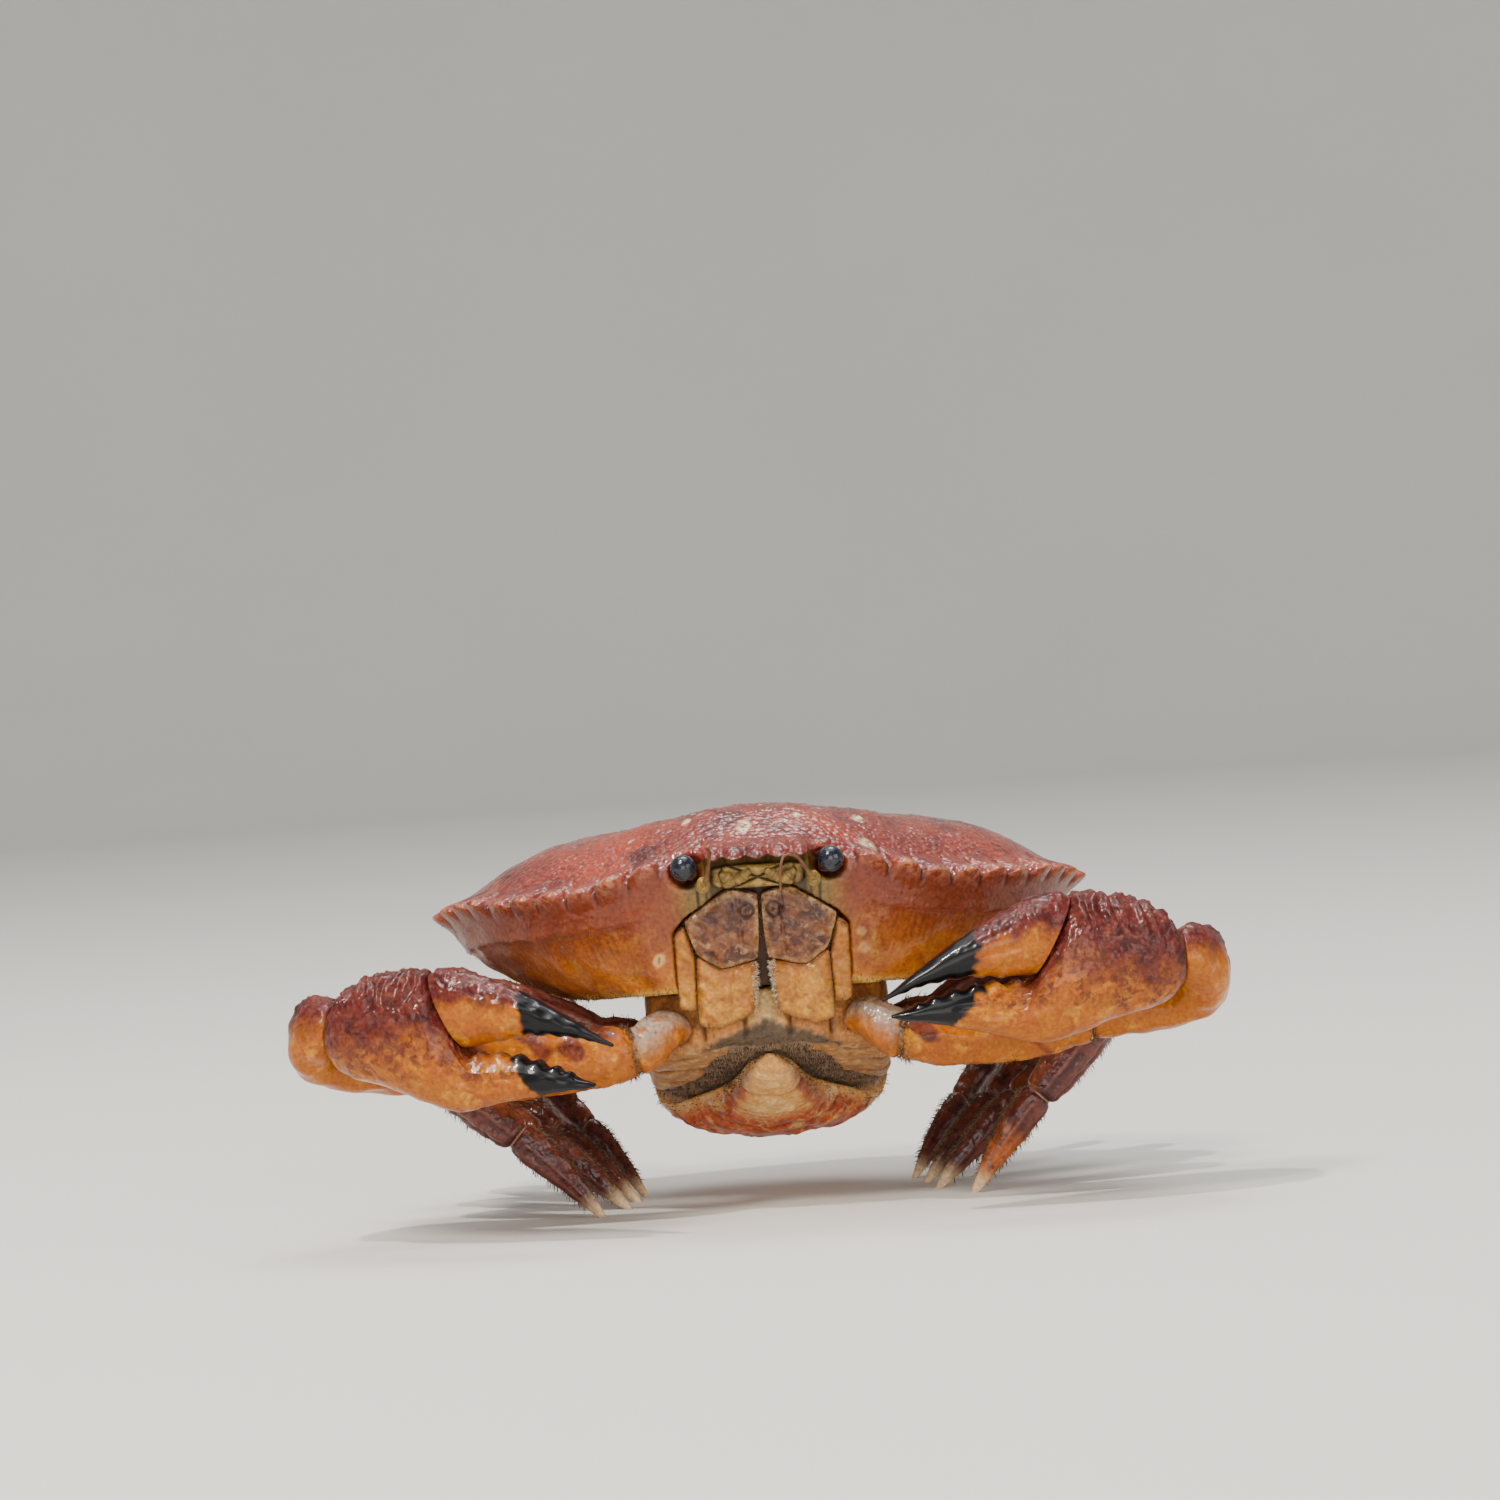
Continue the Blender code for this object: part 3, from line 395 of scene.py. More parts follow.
@dataclass(frozen=True)
class Finish:
    """Wet or dry shell: a ground colour, stains over it, grains that catch the light, and its gloss."""

    name: str
    ground: str
    stains: tuple[Stain, ...] = ()
    grain: float = 0.9
    relief: float = 0.1
    fine: float = 0.25
    roughness: tuple[float, float] = (0.28, 0.5)
    wet: float = 0.6
    wet_roughness: float = 0.1
    sheen: float = 0.22
    gloss_patch: float = 5.0
    speckle: float = 0.7
    dry_share: float = 0.12
    grain_where: str = ""
    dry_where: str = ""

    def material(self) -> bpy.types.Material:
        """The finish as a material, made once.

        Returns:
            The material.
        """
        made = bpy.data.materials.get(self.name)
        if made:
            return made
        material = bpy.data.materials.new(self.name)
        material.use_nodes = True
        tree = material.node_tree
        tree.nodes.clear()
        place = add_node(tree, "ShaderNodeTexCoord").outputs["Object"]
        colour = self._colour(tree, place)
        gloss = add_node(tree, "ShaderNodeTexNoise", {"Scale": 1.0 / (self.gloss_patch * MM), "Detail": 4.0},
                         {"Vector": place})
        rough = add_node(tree, "ShaderNodeMapRange",
                         {"From Min": 0.35, "From Max": 0.65, "To Min": self.roughness[0],
                          "To Max": self.roughness[1]}, {"Value": gloss.outputs["Fac"]})
        bump = self._bump(tree, place)
        shader = add_node(
            tree, "ShaderNodeBsdfPrincipled",
            {"Metallic": 0.0, "IOR": 1.5, "Specular IOR Level": self.sheen, "Coat Weight": self.wet,
             "Coat Roughness": self.wet_roughness, "Coat IOR": 1.38},
            {"Base Color": colour, "Roughness": rough.outputs["Result"], "Normal": bump, "Coat Normal": bump})
        if self.dry_where:
            painted = add_node(tree, "ShaderNodeAttribute", attribute_name=self.dry_where)
            coat = add_node(tree, "ShaderNodeMapRange",
                            {"To Min": self.wet, "To Max": self.dry_share * self.wet},
                            {"Value": painted.outputs["Fac"]})
            tree.links.new(coat.outputs["Result"], shader.inputs["Coat Weight"])
        add_node(tree, "ShaderNodeOutputMaterial", links={"Surface": shader.outputs["BSDF"]})
        return material

    def _colour(self, tree: bpy.types.NodeTree, place: bpy.types.NodeSocket) -> bpy.types.NodeSocket:
        """Lays the stains over the ground in turn, then breaks the colour up with fine speckle.

        Args:
            tree: the material's node tree.
            place: the Object coordinates.

        Returns:
            The colour's socket.
        """
        mix = add_node(tree, "ShaderNodeMix", {0: 0.0, 6: linear(self.ground), 7: linear(self.ground)},
                       data_type="RGBA")
        for number, stain in enumerate(self.stains):
            factor = None
            if stain.size:
                moved = add_node(tree, "ShaderNodeMapping", {"Location": (0.031 * number,) * 3},
                                 {"Vector": place})
                blotch = add_node(tree, "ShaderNodeTexNoise",
                                  {"Scale": 1.0 / (stain.size * MM), "Detail": 3.0, "Roughness": 0.6,
                                   "Distortion": 0.4}, {"Vector": moved.outputs["Vector"]})
                factor = add_node(tree, "ShaderNodeMapRange",
                                  {"From Min": stain.low, "From Max": stain.high, "To Max": stain.amount},
                                  {"Value": blotch.outputs["Fac"]}).outputs["Result"]
            if stain.where:
                painted = add_node(tree, "ShaderNodeAttribute", attribute_name=stain.where).outputs["Fac"]
                links = {0: painted, 1: factor} if factor else {0: painted}
                factor = add_node(tree, "ShaderNodeMath", {} if factor else {1: stain.amount}, links,
                                  operation="MULTIPLY", use_clamp=True).outputs[0]
            mix = add_node(tree, "ShaderNodeMix", {7: linear(stain.colour)}, {0: factor, 6: mix.outputs[2]},
                           data_type="RGBA")
        speckle = add_node(tree, "ShaderNodeTexNoise", {"Scale": 1.0 / (self.speckle * MM), "Detail": 3.0},
                           {"Vector": place})
        shade = add_node(tree, "ShaderNodeMapRange",
                         {"From Min": 0.3, "From Max": 0.7, "To Min": 0.72, "To Max": 1.25},
                         {"Value": speckle.outputs["Fac"]})
        return add_node(tree, "ShaderNodeMix", {0: 1.0}, {6: mix.outputs[2], 7: shade.outputs["Result"]},
                        data_type="RGBA", blend_type="MULTIPLY").outputs[2]

    def _bump(self, tree: bpy.types.NodeTree, place: bpy.types.NodeSocket) -> bpy.types.NodeSocket:
        """Rounded grains one pitch apart, over fine pores.

        Args:
            tree: the material's node tree.
            place: the Object coordinates.

        Returns:
            The normal's socket.
        """
        pores = add_node(tree, "ShaderNodeTexNoise",
                         {"Scale": 1.0 / (self.fine * MM), "Detail": 2.0}, {"Vector": place})
        bump = add_node(tree, "ShaderNodeBump", {"Strength": 0.35, "Distance": 0.1 * self.relief * MM},
                        {"Height": pores.outputs["Fac"]})
        cells = add_node(tree, "ShaderNodeTexVoronoi",
                         {"Scale": 1.0 / (self.grain * MM)}, {"Vector": place}, feature="F1")
        height = cells.outputs["Distance"]
        if self.grain_where:
            painted = add_node(tree, "ShaderNodeAttribute", attribute_name=self.grain_where)
            height = add_node(tree, "ShaderNodeMath", links={0: height, 1: painted.outputs["Fac"]},
                              operation="MULTIPLY").outputs[0]
        return add_node(tree, "ShaderNodeBump", {"Strength": 0.9, "Distance": self.relief * MM},
                        {"Height": height, "Normal": bump.outputs["Normal"]}, invert=True).outputs["Normal"]


# Carapace shell, wet chitin: brick red clouded with purple above, orange below, with worn pale specks.
# Painted shade: under the margin, in tooth notches, under the brow, in hollows. Painted highlight: tooth
# tops.
CARAPACE_SHELL = Finish(
    "wet_carapace_shell", "#6f261d",
    (
        Stain("#933720", size=17.0, low=0.45, high=0.62, amount=0.8),
        Stain("#351017", size=7.0, low=0.5, high=0.66, amount=0.8),
        Stain("#a85236", size=2.0, low=0.57, high=0.72, amount=0.55),
        Stain("#c4ada2", "speck", 1.3, 0.62, 0.67, 0.75),
        Stain("#ae5f12", "under"),
        Stain("#823c12", "under", 6.0, 0.44, 0.62, 0.75),
        Stain("#bf8426", "under", 4.0, 0.5, 0.68, 0.6),
        Stain("#5f2410", "streak", amount=0.6),
        Stain("#6b2b1b", "shade", amount=0.92),
        Stain("#cfa04a", "hem", amount=0.85),
        Stain("#7d2a18", "rim", amount=0.4),
        # painted highlight: pale tops on the edge's teeth
        Stain("#c58058", "crest", 1.2, 0.42, 0.6, 0.65),
        # painted shade in the notches between the edge's teeth
        Stain("#2f0f0c", "notch", amount=0.8),
        Stain("#75602c", "brow", amount=0.9),
        # painted shadow under the brow shelf between the eyes
        Stain("#35240f", "eaves", amount=0.9),
        Stain("#d6ae66", "spot", amount=0.7),
        Stain("#2b150c", "crease", amount=0.9),
        Stain("#d2c39a", "barnacle", 1.1, 0.38, 0.5, 0.9),
        # painted shade in the eye hollows and in the mouth's frame behind the plates
        Stain("#260d05", "hollow", amount=0.95),
    ),
    grain=1.05, relief=0.21, roughness=(0.3, 0.5), wet=0.85, wet_roughness=0.055, grain_where="grain",
    dry_where="dry")

# Sternum skin between the legs: dull tan plates with dark furry valleys beside the tail.
# Painted shade darkens the valleys' arms on the front wall.
STERNUM_SKIN = Finish(
    "sternum_plate", "#c08043",
    (
        Stain("#7d4f2c", size=4.0, low=0.45, high=0.65, amount=0.8),
        Stain("#dcb878", "pale", amount=0.9),
        Stain("#946538", "bloom", amount=0.8),
        Stain("#c79d62", "bloom", 3.0, 0.5, 0.64, 0.7),
        Stain("#7f6853", "valley", amount=0.95),
        # painted shade on the valley's arms on the front wall, matching the shaded underside
        Stain("#52412f", "fold", amount=0.95),
        Stain("#241a15", "crease", amount=0.9),
    ),
    grain=0.7, relief=0.1, roughness=(0.45, 0.7), wet=0.25, wet_roughness=0.25)

# Tail plates: cream shell, mottled red and orange where they bulge.
TAIL_SHELL = Finish(
    "cream_tail_shell", "#e0a258",
    (
        Stain("#e6c084", size=5.0, low=0.45, high=0.62, amount=0.7),
        Stain("#bc4a26", "blush", 4.0, 0.36, 0.5, 0.92),
        Stain("#8e2a1e", "blush", 2.2, 0.5, 0.62, 0.75),
        Stain("#e6b070", "blush", 2.6, 0.58, 0.68, 0.6),
        Stain("#7c2f20", "rear", 6.0, 0.3, 0.5, 0.8),
        Stain("#6e4627", "flank", amount=0.75),
        Stain("#6a3018", "seam", amount=0.55),
    ),
    grain=0.8, relief=0.06, roughness=(0.3, 0.5), wet=0.45, wet_roughness=0.14)

# Face plate and feelers: olive yellow shell with dark creases.
FACE_SHELL = Finish(
    "olive_face_shell", "#7d612a",
    (
        Stain("#a5843c", size=2.0, low=0.45, high=0.6, amount=0.7),
        Stain("#4f3818", size=1.3, low=0.52, high=0.66, amount=0.7),
        Stain("#22150a", "crease", amount=0.95),
        Stain("#5b3320", "whip", amount=0.9),
    ),
    grain=0.5, relief=0.05, roughness=(0.3, 0.5), wet=0.5, wet_roughness=0.12)

# Upper mouth plates: mauve brown, mottled, with pale worn rims.
MOUTH_MAUVE = Finish(
    "mauve_mouth_plate", "#84502f",
    (
        Stain("#3c2220", size=3.0, low=0.42, high=0.58, amount=0.85),
        Stain("#a8805f", size=1.5, low=0.55, high=0.68, amount=0.7),
        Stain("#3a2320", "dusk", amount=0.6),
        Stain("#c39763", "edge", 2.0, 0.35, 0.6, 0.75),
        Stain("#2a1712", "crease", amount=0.9),
    ),
    grain=0.75, relief=0.1, roughness=(0.28, 0.45), wet=0.5, wet_roughness=0.12)

# Lower mouth plates and side strips: orange tan.
MOUTH_ORANGE = Finish(
    "orange_mouth_plate", "#c78a30",
    (
        Stain("#98541e", size=4.0, low=0.45, high=0.62, amount=0.7),
        Stain("#d6a548", size=2.0, low=0.54, high=0.68, amount=0.6),
        Stain("#8f4a1c", "dusk", amount=0.6),
        Stain("#6a3617", "edge", amount=0.55),
    ),
    grain=0.75, relief=0.07, roughness=(0.3, 0.48), wet=0.45, wet_roughness=0.12)

# Claw shell: orange below, purple brown above, and horn-black polished finger ends.
# Painted glints pale the cutting teeth, and a painted grey sheen lies on the coxa's upper side.
CLAW_SHELL = Finish(
    "two_tone_claw_shell", "#a55b0c",
    (
        Stain("#96480f", size=5.0, low=0.45, high=0.62, amount=0.7),
        Stain("#d2962a", size=3.0, low=0.54, high=0.7, amount=0.5),
        Stain("#581f1d", "upper"),
        Stain("#6a3222", "upper", 5.0, 0.5, 0.66, 0.6),
        Stain("#2b0f14", "upper", 2.6, 0.46, 0.62, 0.75),
        Stain("#5a2416", "fade", 1.3, 0.46, 0.58, 0.85),
        Stain("#8f5442", "knob", 1.2, 0.4, 0.6, 0.5),
        # painted sheen: pale grey over the upper side of a claw's coxa
        Stain("#94887a", "bloom", 2.2, 0.3, 0.5, 0.85),
        Stain("#08080d", "black"),
        # painted glints: pale grey on the cutting teeth
        Stain("#7d736a", "tooth", 1.0, 0.4, 0.6, 0.6),
        Stain("#7d5c42", "membrane", amount=0.95),
    ),
    grain=1.0, relief=0.12, roughness=(0.26, 0.44), wet=0.4, wet_roughness=0.07, sheen=0.14,
    grain_where="grain")

# Walking-leg shell: dark purple brown, lighter along its ridges, pale horn tips.
LEG_SHELL = Finish(
    "purple_leg_shell", "#3c1518",
    (
        Stain("#5c2119", size=5.0, low=0.45, high=0.62, amount=0.8),
        Stain("#230b11", size=2.6, low=0.5, high=0.66, amount=0.8),
        Stain("#8a5140", "ridge", amount=0.6),
        Stain("#8c4a22", "belly", 4.0, 0.35, 0.6, 0.6),
        Stain("#b8601e", "amber", 2.5, 0.3, 0.5, 0.75),
        Stain("#dcbd92", "tip"),
        Stain("#8a6444", "membrane", amount=0.95),
    ),
    grain=0.8, relief=0.1, roughness=(0.28, 0.46), wet=0.5, wet_roughness=0.1)

# Cornea of the eye: smooth blue-black facets on a tan stalk.
EYE_GLOSS = Finish(
    "blue_black_cornea", "#8a5a34",
    (
        Stain("#5d3a24", size=1.0, low=0.45, high=0.6, amount=0.7),
        Stain("#14171f", "cornea"),
        Stain("#2c3350", "glint", 0.6, 0.5, 0.65, 0.6),
    ),
    grain=0.16, relief=0.008, roughness=(0.18, 0.3), wet=0.9, wet_roughness=0.04)

# Bristles: dull brown chitin hairs.
BRISTLE = Finish(
    "brown_bristle", "#5b4331",
    (
        Stain("#8a6a48", size=9.0, low=0.4, high=0.6, amount=0.7),
        Stain("#615346", "dark", amount=0.9),
        Stain("#d9ccb2", "pale", amount=0.95),
    ),
    grain=0.5, relief=0.02, roughness=(0.5, 0.7), wet=0.1, wet_roughness=0.3)


def add_mesh(name: str, points: Array, faces: list[list[int]],
             material: bpy.types.Material) -> bpy.types.Object:
    """Adds one smooth-shaded object to the scene.

    Args:
        name: the object's name.
        points: its vertices in metres.
        faces: the vertex numbers of each face.
        material: its only material.

    Returns:
        The object.
    """
    mesh = bpy.data.meshes.new(name)
    mesh.from_pydata(points.tolist(), [], faces)
    mesh.polygons.foreach_set("use_smooth", np.ones(len(faces), bool))
    mesh.materials.append(material)
    made = bpy.data.objects.new(name, mesh)
    bpy.context.scene.collection.objects.link(made)
    return made


def set_values(mesh: bpy.types.Mesh, values: dict[str, Array]) -> None:
    """Stores named values at a mesh's vertices, where its material reads them."""
    for key, value in values.items():
        mesh.attributes.new(key, "FLOAT", "POINT").data.foreach_set("value", value.astype(np.float32))


def add_piece(name: str, sheets: list[Sheet], finish: Finish, nodes: tuple[str, ...]) -> None:
    """Makes one piece of the crab from its skins, and lets it stand for its solids.

    Args:
        name: the piece's name.
        sheets: its skins, in world millimetres.
        finish: its material.
        nodes: the solids that it replaces.
    """
    vertices: list[Array] = []
    faces: list[list[int]] = []
    names = sorted({key for sheet in sheets for key in sheet.values})
    values: dict[str, list[Array]] = {key: [] for key in names}
    start = 0
    for sheet in sheets:
        points, quads, ends, painted = sheet.closed().faces()
        vertices.append(points)
        faces += (quads + start).tolist() + (ends + start).tolist()
        for key in names:
            values[key].append(painted.get(key, np.zeros(len(points))))
        start += len(points)
    piece = add_mesh(name, np.concatenate(vertices) * MM, faces, finish.material())
    set_values(piece.data, {key: np.concatenate(parts) for key, parts in values.items()})
    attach(piece, "root")
    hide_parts(*nodes)
    LOG.info("%s: %d faces", name, len(faces))


@dataclass
class Bristles:
    """Stiff hairs gathered from many skins, made as one joined mesh of thin bent spikes."""

    name: str
    seed: int
    droop: float = 0.22
    tangle: float = 0.28
    scatter: float = 0.12
    sink: float = 0.15
    sizes: tuple[float, float] = (0.6, 1.25)
    knee: float = 0.55
    tile_share: float = 0.95
    # one row to a skin: its hairs' roots, directions, lengths, places on the skin and tones
    tufts: list[tuple[Array, ...]] = field(default_factory=list)

    def grow(self, sheet: Sheet, weight: Array, count: int, length: float, lean: Array | Point,
             tone: float = 0.0, stand: float = 1.0) -> None:
        """Roots hairs on a skin where the weight is high.

        Args:
            sheet: the skin that carries them.
            weight: how likely a hair is at each point.
            count: how many hairs.
            length: their usual length in millimetres.
            lean: the direction that they lean in.
            tone: 0 for brown hairs, 1 for dark ones and -1 for pale ones.
            stand: how far they stand out along the skin's normal.
        """
        draw = np.random.default_rng(self.seed + len(self.tufts))
        weight = weight + LEAST
        chance = (weight / weight.sum()).reshape(-1)
        chosen = draw.choice(chance.size, count, p=chance)
        rings, around = sheet.points.shape[:2]
        normal = sheet.normals().reshape(-1, 3)[chosen]
        jitter = draw.normal(size=(count, 3)) * self.tangle
        root = sheet.points.reshape(-1, 3)[chosen] + draw.normal(size=(count, 3)) * self.scatter
        self.tufts.append((root - self.sink * normal, unit(stand * normal + np.asarray(lean) + jitter),
                           length * draw.uniform(*self.sizes, count),
                           np.stack((chosen // around / rings, chosen % around / around), axis=-1),
                           np.full(count, tone)))

    def build(self, finish: Finish, slot: str, thickness: float = 0.075) -> None:
        """Makes the hairs: a three-sided root and middle ring and one tip each, drooping a little.

        Each skin has its own square tile of the OFBake map, and each hair is a small patch of that tile at
        its root's place round and along the skin.

        Args:
            finish: the material of the hairs.
            slot: not used.
            thickness: the radius at the root in millimetres.
        """
        root, lie, length, place, tone = (np.concatenate(part) for part in zip(*self.tufts))
        length = length[:, None]
        count = len(root)
        ring = hoop(lie, (0.31, 0.59, 0.74), 3)
        middle = root + self.knee * length * lie
        tip = root + length * unit(lie + (0.0, 0.0, -self.droop))
        points = np.concatenate((root[:, None] + thickness * ring, middle[:, None] + 0.7 * thickness * ring,
                                 tip[:, None]), axis=1)
        points[..., 2] = np.maximum(points[..., 2], 0.02)
        first = points.shape[1] * np.arange(count)[:, None]
        quads = np.array(((0, 1, 4, 3), (1, 2, 5, 4), (2, 0, 3, 5)))
        tris = np.array(((3, 4, 6), (4, 5, 6), (5, 3, 6), (0, 2, 1)))
        faces = (first[:, :, None] + quads).reshape(-1, 4).tolist()
        faces += (first[:, :, None] + tris).reshape(-1, 3).tolist()
        piece = add_mesh(self.name, points.reshape(-1, 3) * MM, faces, finish.material())
        mesh = piece.data
        tone = np.repeat(tone, points.shape[1])
        set_values(mesh, {"dark": np.maximum(tone, 0.0), "pale": np.maximum(-tone, 0.0)})
        patch = np.array(((0, 0), (2, 0), (1, 1), (0, 1), (2, 1), (1, 2), (1, 3))) * 0.001
        columns = math.ceil(math.sqrt(len(self.tufts)))
        order = np.repeat(np.arange(len(self.tufts)), [len(tuft[0]) for tuft in self.tufts])
        tile = np.stack((order % columns, order // columns), axis=-1)
        flat = (0.01 + 0.975 * (tile + self.tile_share * place) / columns)[:, None] + patch
        flat = flat.reshape(-1, 2)
        corners = np.empty(len(mesh.loops), np.int32)
        mesh.loops.foreach_get("vertex_index", corners)
        mesh.uv_layers.new(name="OFBake").data.foreach_set("uv", flat[corners].astype(np.float32).reshape(-1))
        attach(piece, "root")
        LOG.info("%s: %d hairs", self.name, count)


@dataclass(frozen=True)
class Mouth:
    """The sloping plane that carries the face and the mouthparts, in the body frame."""

    point: Point = (0.0, 3.5, -5.1)
    down: Point = (0.0, 0.543, -0.839)
    out: Point = (0.0, -0.839, -0.543)
    depth: float = 2.0
    frame_down: Numbers = (-0.6, 4.5, 7.0, 24.0, 30.0)
    frame_half: Numbers = (6.0, 13.5, 15.9, 15.6, 14.0)

    def place(self, x: Array, down: Array, height: Array) -> Array:
        """Body points by their distance across, down the slope and off it.

        Args:
            x: distance to the crab's left.
            down: distance down the plane.
            height: distance out of the plane.

        Returns:
            Points in the body frame.
        """
        x, down, height = np.broadcast_arrays(x, down, height)
        side = x[..., None] * (1.0, 0.0, 0.0)
        return self.point + side + down[..., None] * self.down + height[..., None] * self.out

    def sunk(self, points: Array) -> Array:
        """Body points with the mouth's shallow frame pressed in, its walls sloped over a millimetre.

        Args:
            points: points of the shell in the body frame.

        Returns:
            The points after the frame is pressed in.
        """
        away = points - self.point
        down = away @ self.down
        height = away @ self.out
        half = np.interp(down, self.frame_down, self.frame_half)
        inside = ease(-0.1, 0.9, half - np.abs(points[..., 0])) * ease(-0.9, 0.0, down - self.frame_down[0])
        inside = inside * ease(-0.6, -0.1, height)
        return points - (self.depth * inside)[..., None] * self.out


@dataclass
class Carapace:
    """The shell: a domed shield with a scalloped edge, eye hollows and an inward-sloping underside.

    Angles round its edge run from the crab's left, with the front at a quarter turn.
    """

    half_width: float = 57.5
    length: float = 74.0
    widest_y: float = 44.0
    front_power: float = 1.8
    rear_power: float = 1.45
    dome_y: float = 34.0
    dome_height: float = 14.8
    margin_x: Numbers = (0.0, 12.0, 17.0, 26.0, 33.0, 41.0, 48.0, 53.0, 57.5)
    margin_front: Numbers = (0.0, 0.0, -0.8, -2.8, -3.2, -2.2, -0.5, 1.5, 3.0)
    margin_rear: Numbers = (0.0, 0.0, 0.2, 0.7, 1.2, 2.0, 2.6, 2.9, 3.0)
    lower_half_width: float = 33.0
    lower_front_y: float = 13.0
    lower_rear_y: float = 66.0
    lower_z: float = -20.5
    lower_slope: float = 0.25
    lower_power: float = 2.5
    under_bulge: float = 1.38
    dome_spacing: float = 1.5
    under_spacing: float = 1.35
    rear_point: Point = (0.0, 74.6, -2.0)
    rear_out: Point = (0.0, 0.944, -0.331)
    teeth: int = 10
    tooth_reach: float = 2.9
    front_half_width: float = 9.8
    shelf_reach: float = 1.9
    front_tooth_reach: float = 1.7
    front_tooth_spacing: float = 4.0
    socket: Point = (12.6, 1.0, -1.3)
    socket_radius: float = 3.4
    barnacles: Table = (
        # x, y, radius
        (-1.9, 4.6, 1.5), (18.4, 12.0, 1.3), (19.6, 5.6, 1.7), (7.5, 7.0, 0.8), (-12.0, 9.0, 0.9),
    )
    # on the underside: x, share of the way down and radius
    scar: Point = (-18.2, 0.62, 1.3)
    blisters: Table = ((17.4, 0.5, 1.0), (17.8, 0.62, 1.1))
    under_depth: float = 24.0
    around: int = 676
    dome_rings: int = 92
    under_rings: int = 52
    swellings: Table = (
        # x, y, radius, height: stomach, heart, gill chambers and the front lobes
        (0.0, 21.0, 13.0, 0.3), (0.0, 48.0, 9.0, 0.6), (27.0, 40.0, 13.0, 0.7), (19.0, 17.0, 6.0, 0.7),
        (9.0, 9.0, 5.0, 0.3), (43.0, 24.0, 9.0, 0.9), (16.0, 56.0, 9.0, 0.5),
    )

    @property
    def angle(self) -> Array:
        """The grid's places round the edge, closer together at the front."""
        return turns(self.around) + 0.4 * np.cos(turns(self.around))

    @property
    def band(self) -> Array:
        """Each point's share of the way from the margin to the lower edge, and 0 on the back."""
        under = np.linspace(0.0, 1.0, self.under_rings + 1)[1:] ** self.under_spacing
        return np.concatenate((np.zeros(self.dome_rings), under))[:, None] * np.ones(self.around)

    def margin(self, angle: Array) -> Array:
        """The margin: two superellipse halves that share the widest line, with tabled heights.

        Args:
            angle: places round the edge.

        Returns:
            Points of the edge in the body frame.
        """
        cos = np.cos(angle)
        sin = np.sin(angle)
        front = sin >= 0
        power = np.where(front, self.front_power, self.rear_power)
        depth = np.where(front, self.widest_y, self.length - self.widest_y)
        x = self.half_width * squared(cos, power)
        y = self.widest_y - depth * squared(sin, power)
        front_z = smooth(self.margin_x, self.margin_front, np.abs(x))
        rear_z = smooth(self.margin_x, self.margin_rear, np.abs(x))
        return np.column_stack((x, y, np.where(front, front_z, rear_z)))

    def lower_height(self, y: Array) -> Array:
        """Height of the underside's lower plane, a straight slope towards the rear."""
        return self.lower_z + self.lower_slope * (y - self.lower_front_y)

    def lower_edge(self) -> Array:
        """Where the underside ends over the leg roots: a superellipse on the sloping lower plane.

        Returns:
            Points of the lower edge in the body frame.
        """
        x = self.lower_half_width * squared(np.cos(self.angle), self.lower_power)
        middle = (self.lower_front_y + self.lower_rear_y) / 2
        y = middle - (self.lower_rear_y - middle) * squared(np.sin(self.angle), self.lower_power)
        return np.column_stack((x, y, self.lower_height(y)))

    def scallops(self, angle: Array) -> Array:
        """Height of the edge's teeth, 0 to 1: one rounded sine arch to a tooth, steeper on its front side.

        Args:
            angle: places round the edge.

        Returns:
            One height to an angle.
        """
        fine = np.linspace(-math.pi / 2, math.pi / 2, 1201)
        line = self.margin(fine)
        walked = np.concatenate(([0.0], np.cumsum(np.linalg.norm(np.diff(line, axis=0), axis=1))))
        walked -= np.interp(0.0, fine, walked)
        ahead = fine >= 0
        inner_end = self.socket[0] + self.socket_radius
        span = float(np.interp(-inner_end, -line[ahead, 0], walked[ahead]))
        folded = np.arctan2(np.sin(angle), np.abs(np.cos(angle)))
        phase = np.interp(folded, fine, walked) / span * self.teeth + 0.2
        share = phase - np.floor(phase)
        arch = np.sin(math.pi * share ** 1.15) ** 0.5
        sizes = 1.0 + 0.16 * np.sin(2.4 * np.floor(phase) + 1.0)
        return np.where((phase > 0.0) & (phase < self.teeth), arch * sizes, 0.0)

    def front_reach(self, x: Array) -> Array:
        """How far the front stands out: a low shelf between the eyes with squared cosine teeth.

        Args:
            x: distance to the crab's left.

        Returns:
            The reach in millimetres.
        """
        inside = self.front_half_width - np.abs(x)
        teeth = np.abs(np.cos(math.pi * x / self.front_tooth_spacing)) ** 0.7
        shelf = self.shelf_reach * ease(0.0, 2.4, inside)
        return shelf + self.front_tooth_reach * teeth * ease(0.0, 1.0, inside)

    def dome(self) -> Array:
        """The back: rings shrink from the margin to the top, and rise as one minus a power of their share.

        Returns:
            Rings of points in the body frame.
        """
        rim = self.margin(self.angle)
        centre = np.array((0.0, self.dome_y, 0.0))
        share = 1.0 - (1.0 - np.linspace(0.0, 1.0, self.dome_rings)[:, None]) ** self.dome_spacing
        dome = centre + share[..., None] * (rim - centre)
        steepness = 4.2 + 0.2 * np.sin(self.angle) ** 2
        dome[..., 2] = rim[:, 2] * share ** 2 + self.dome_height * (1.0 - share ** steepness)
        dome[..., 2] += self.relief(dome) * (1.0 - share ** 8)
        return dome

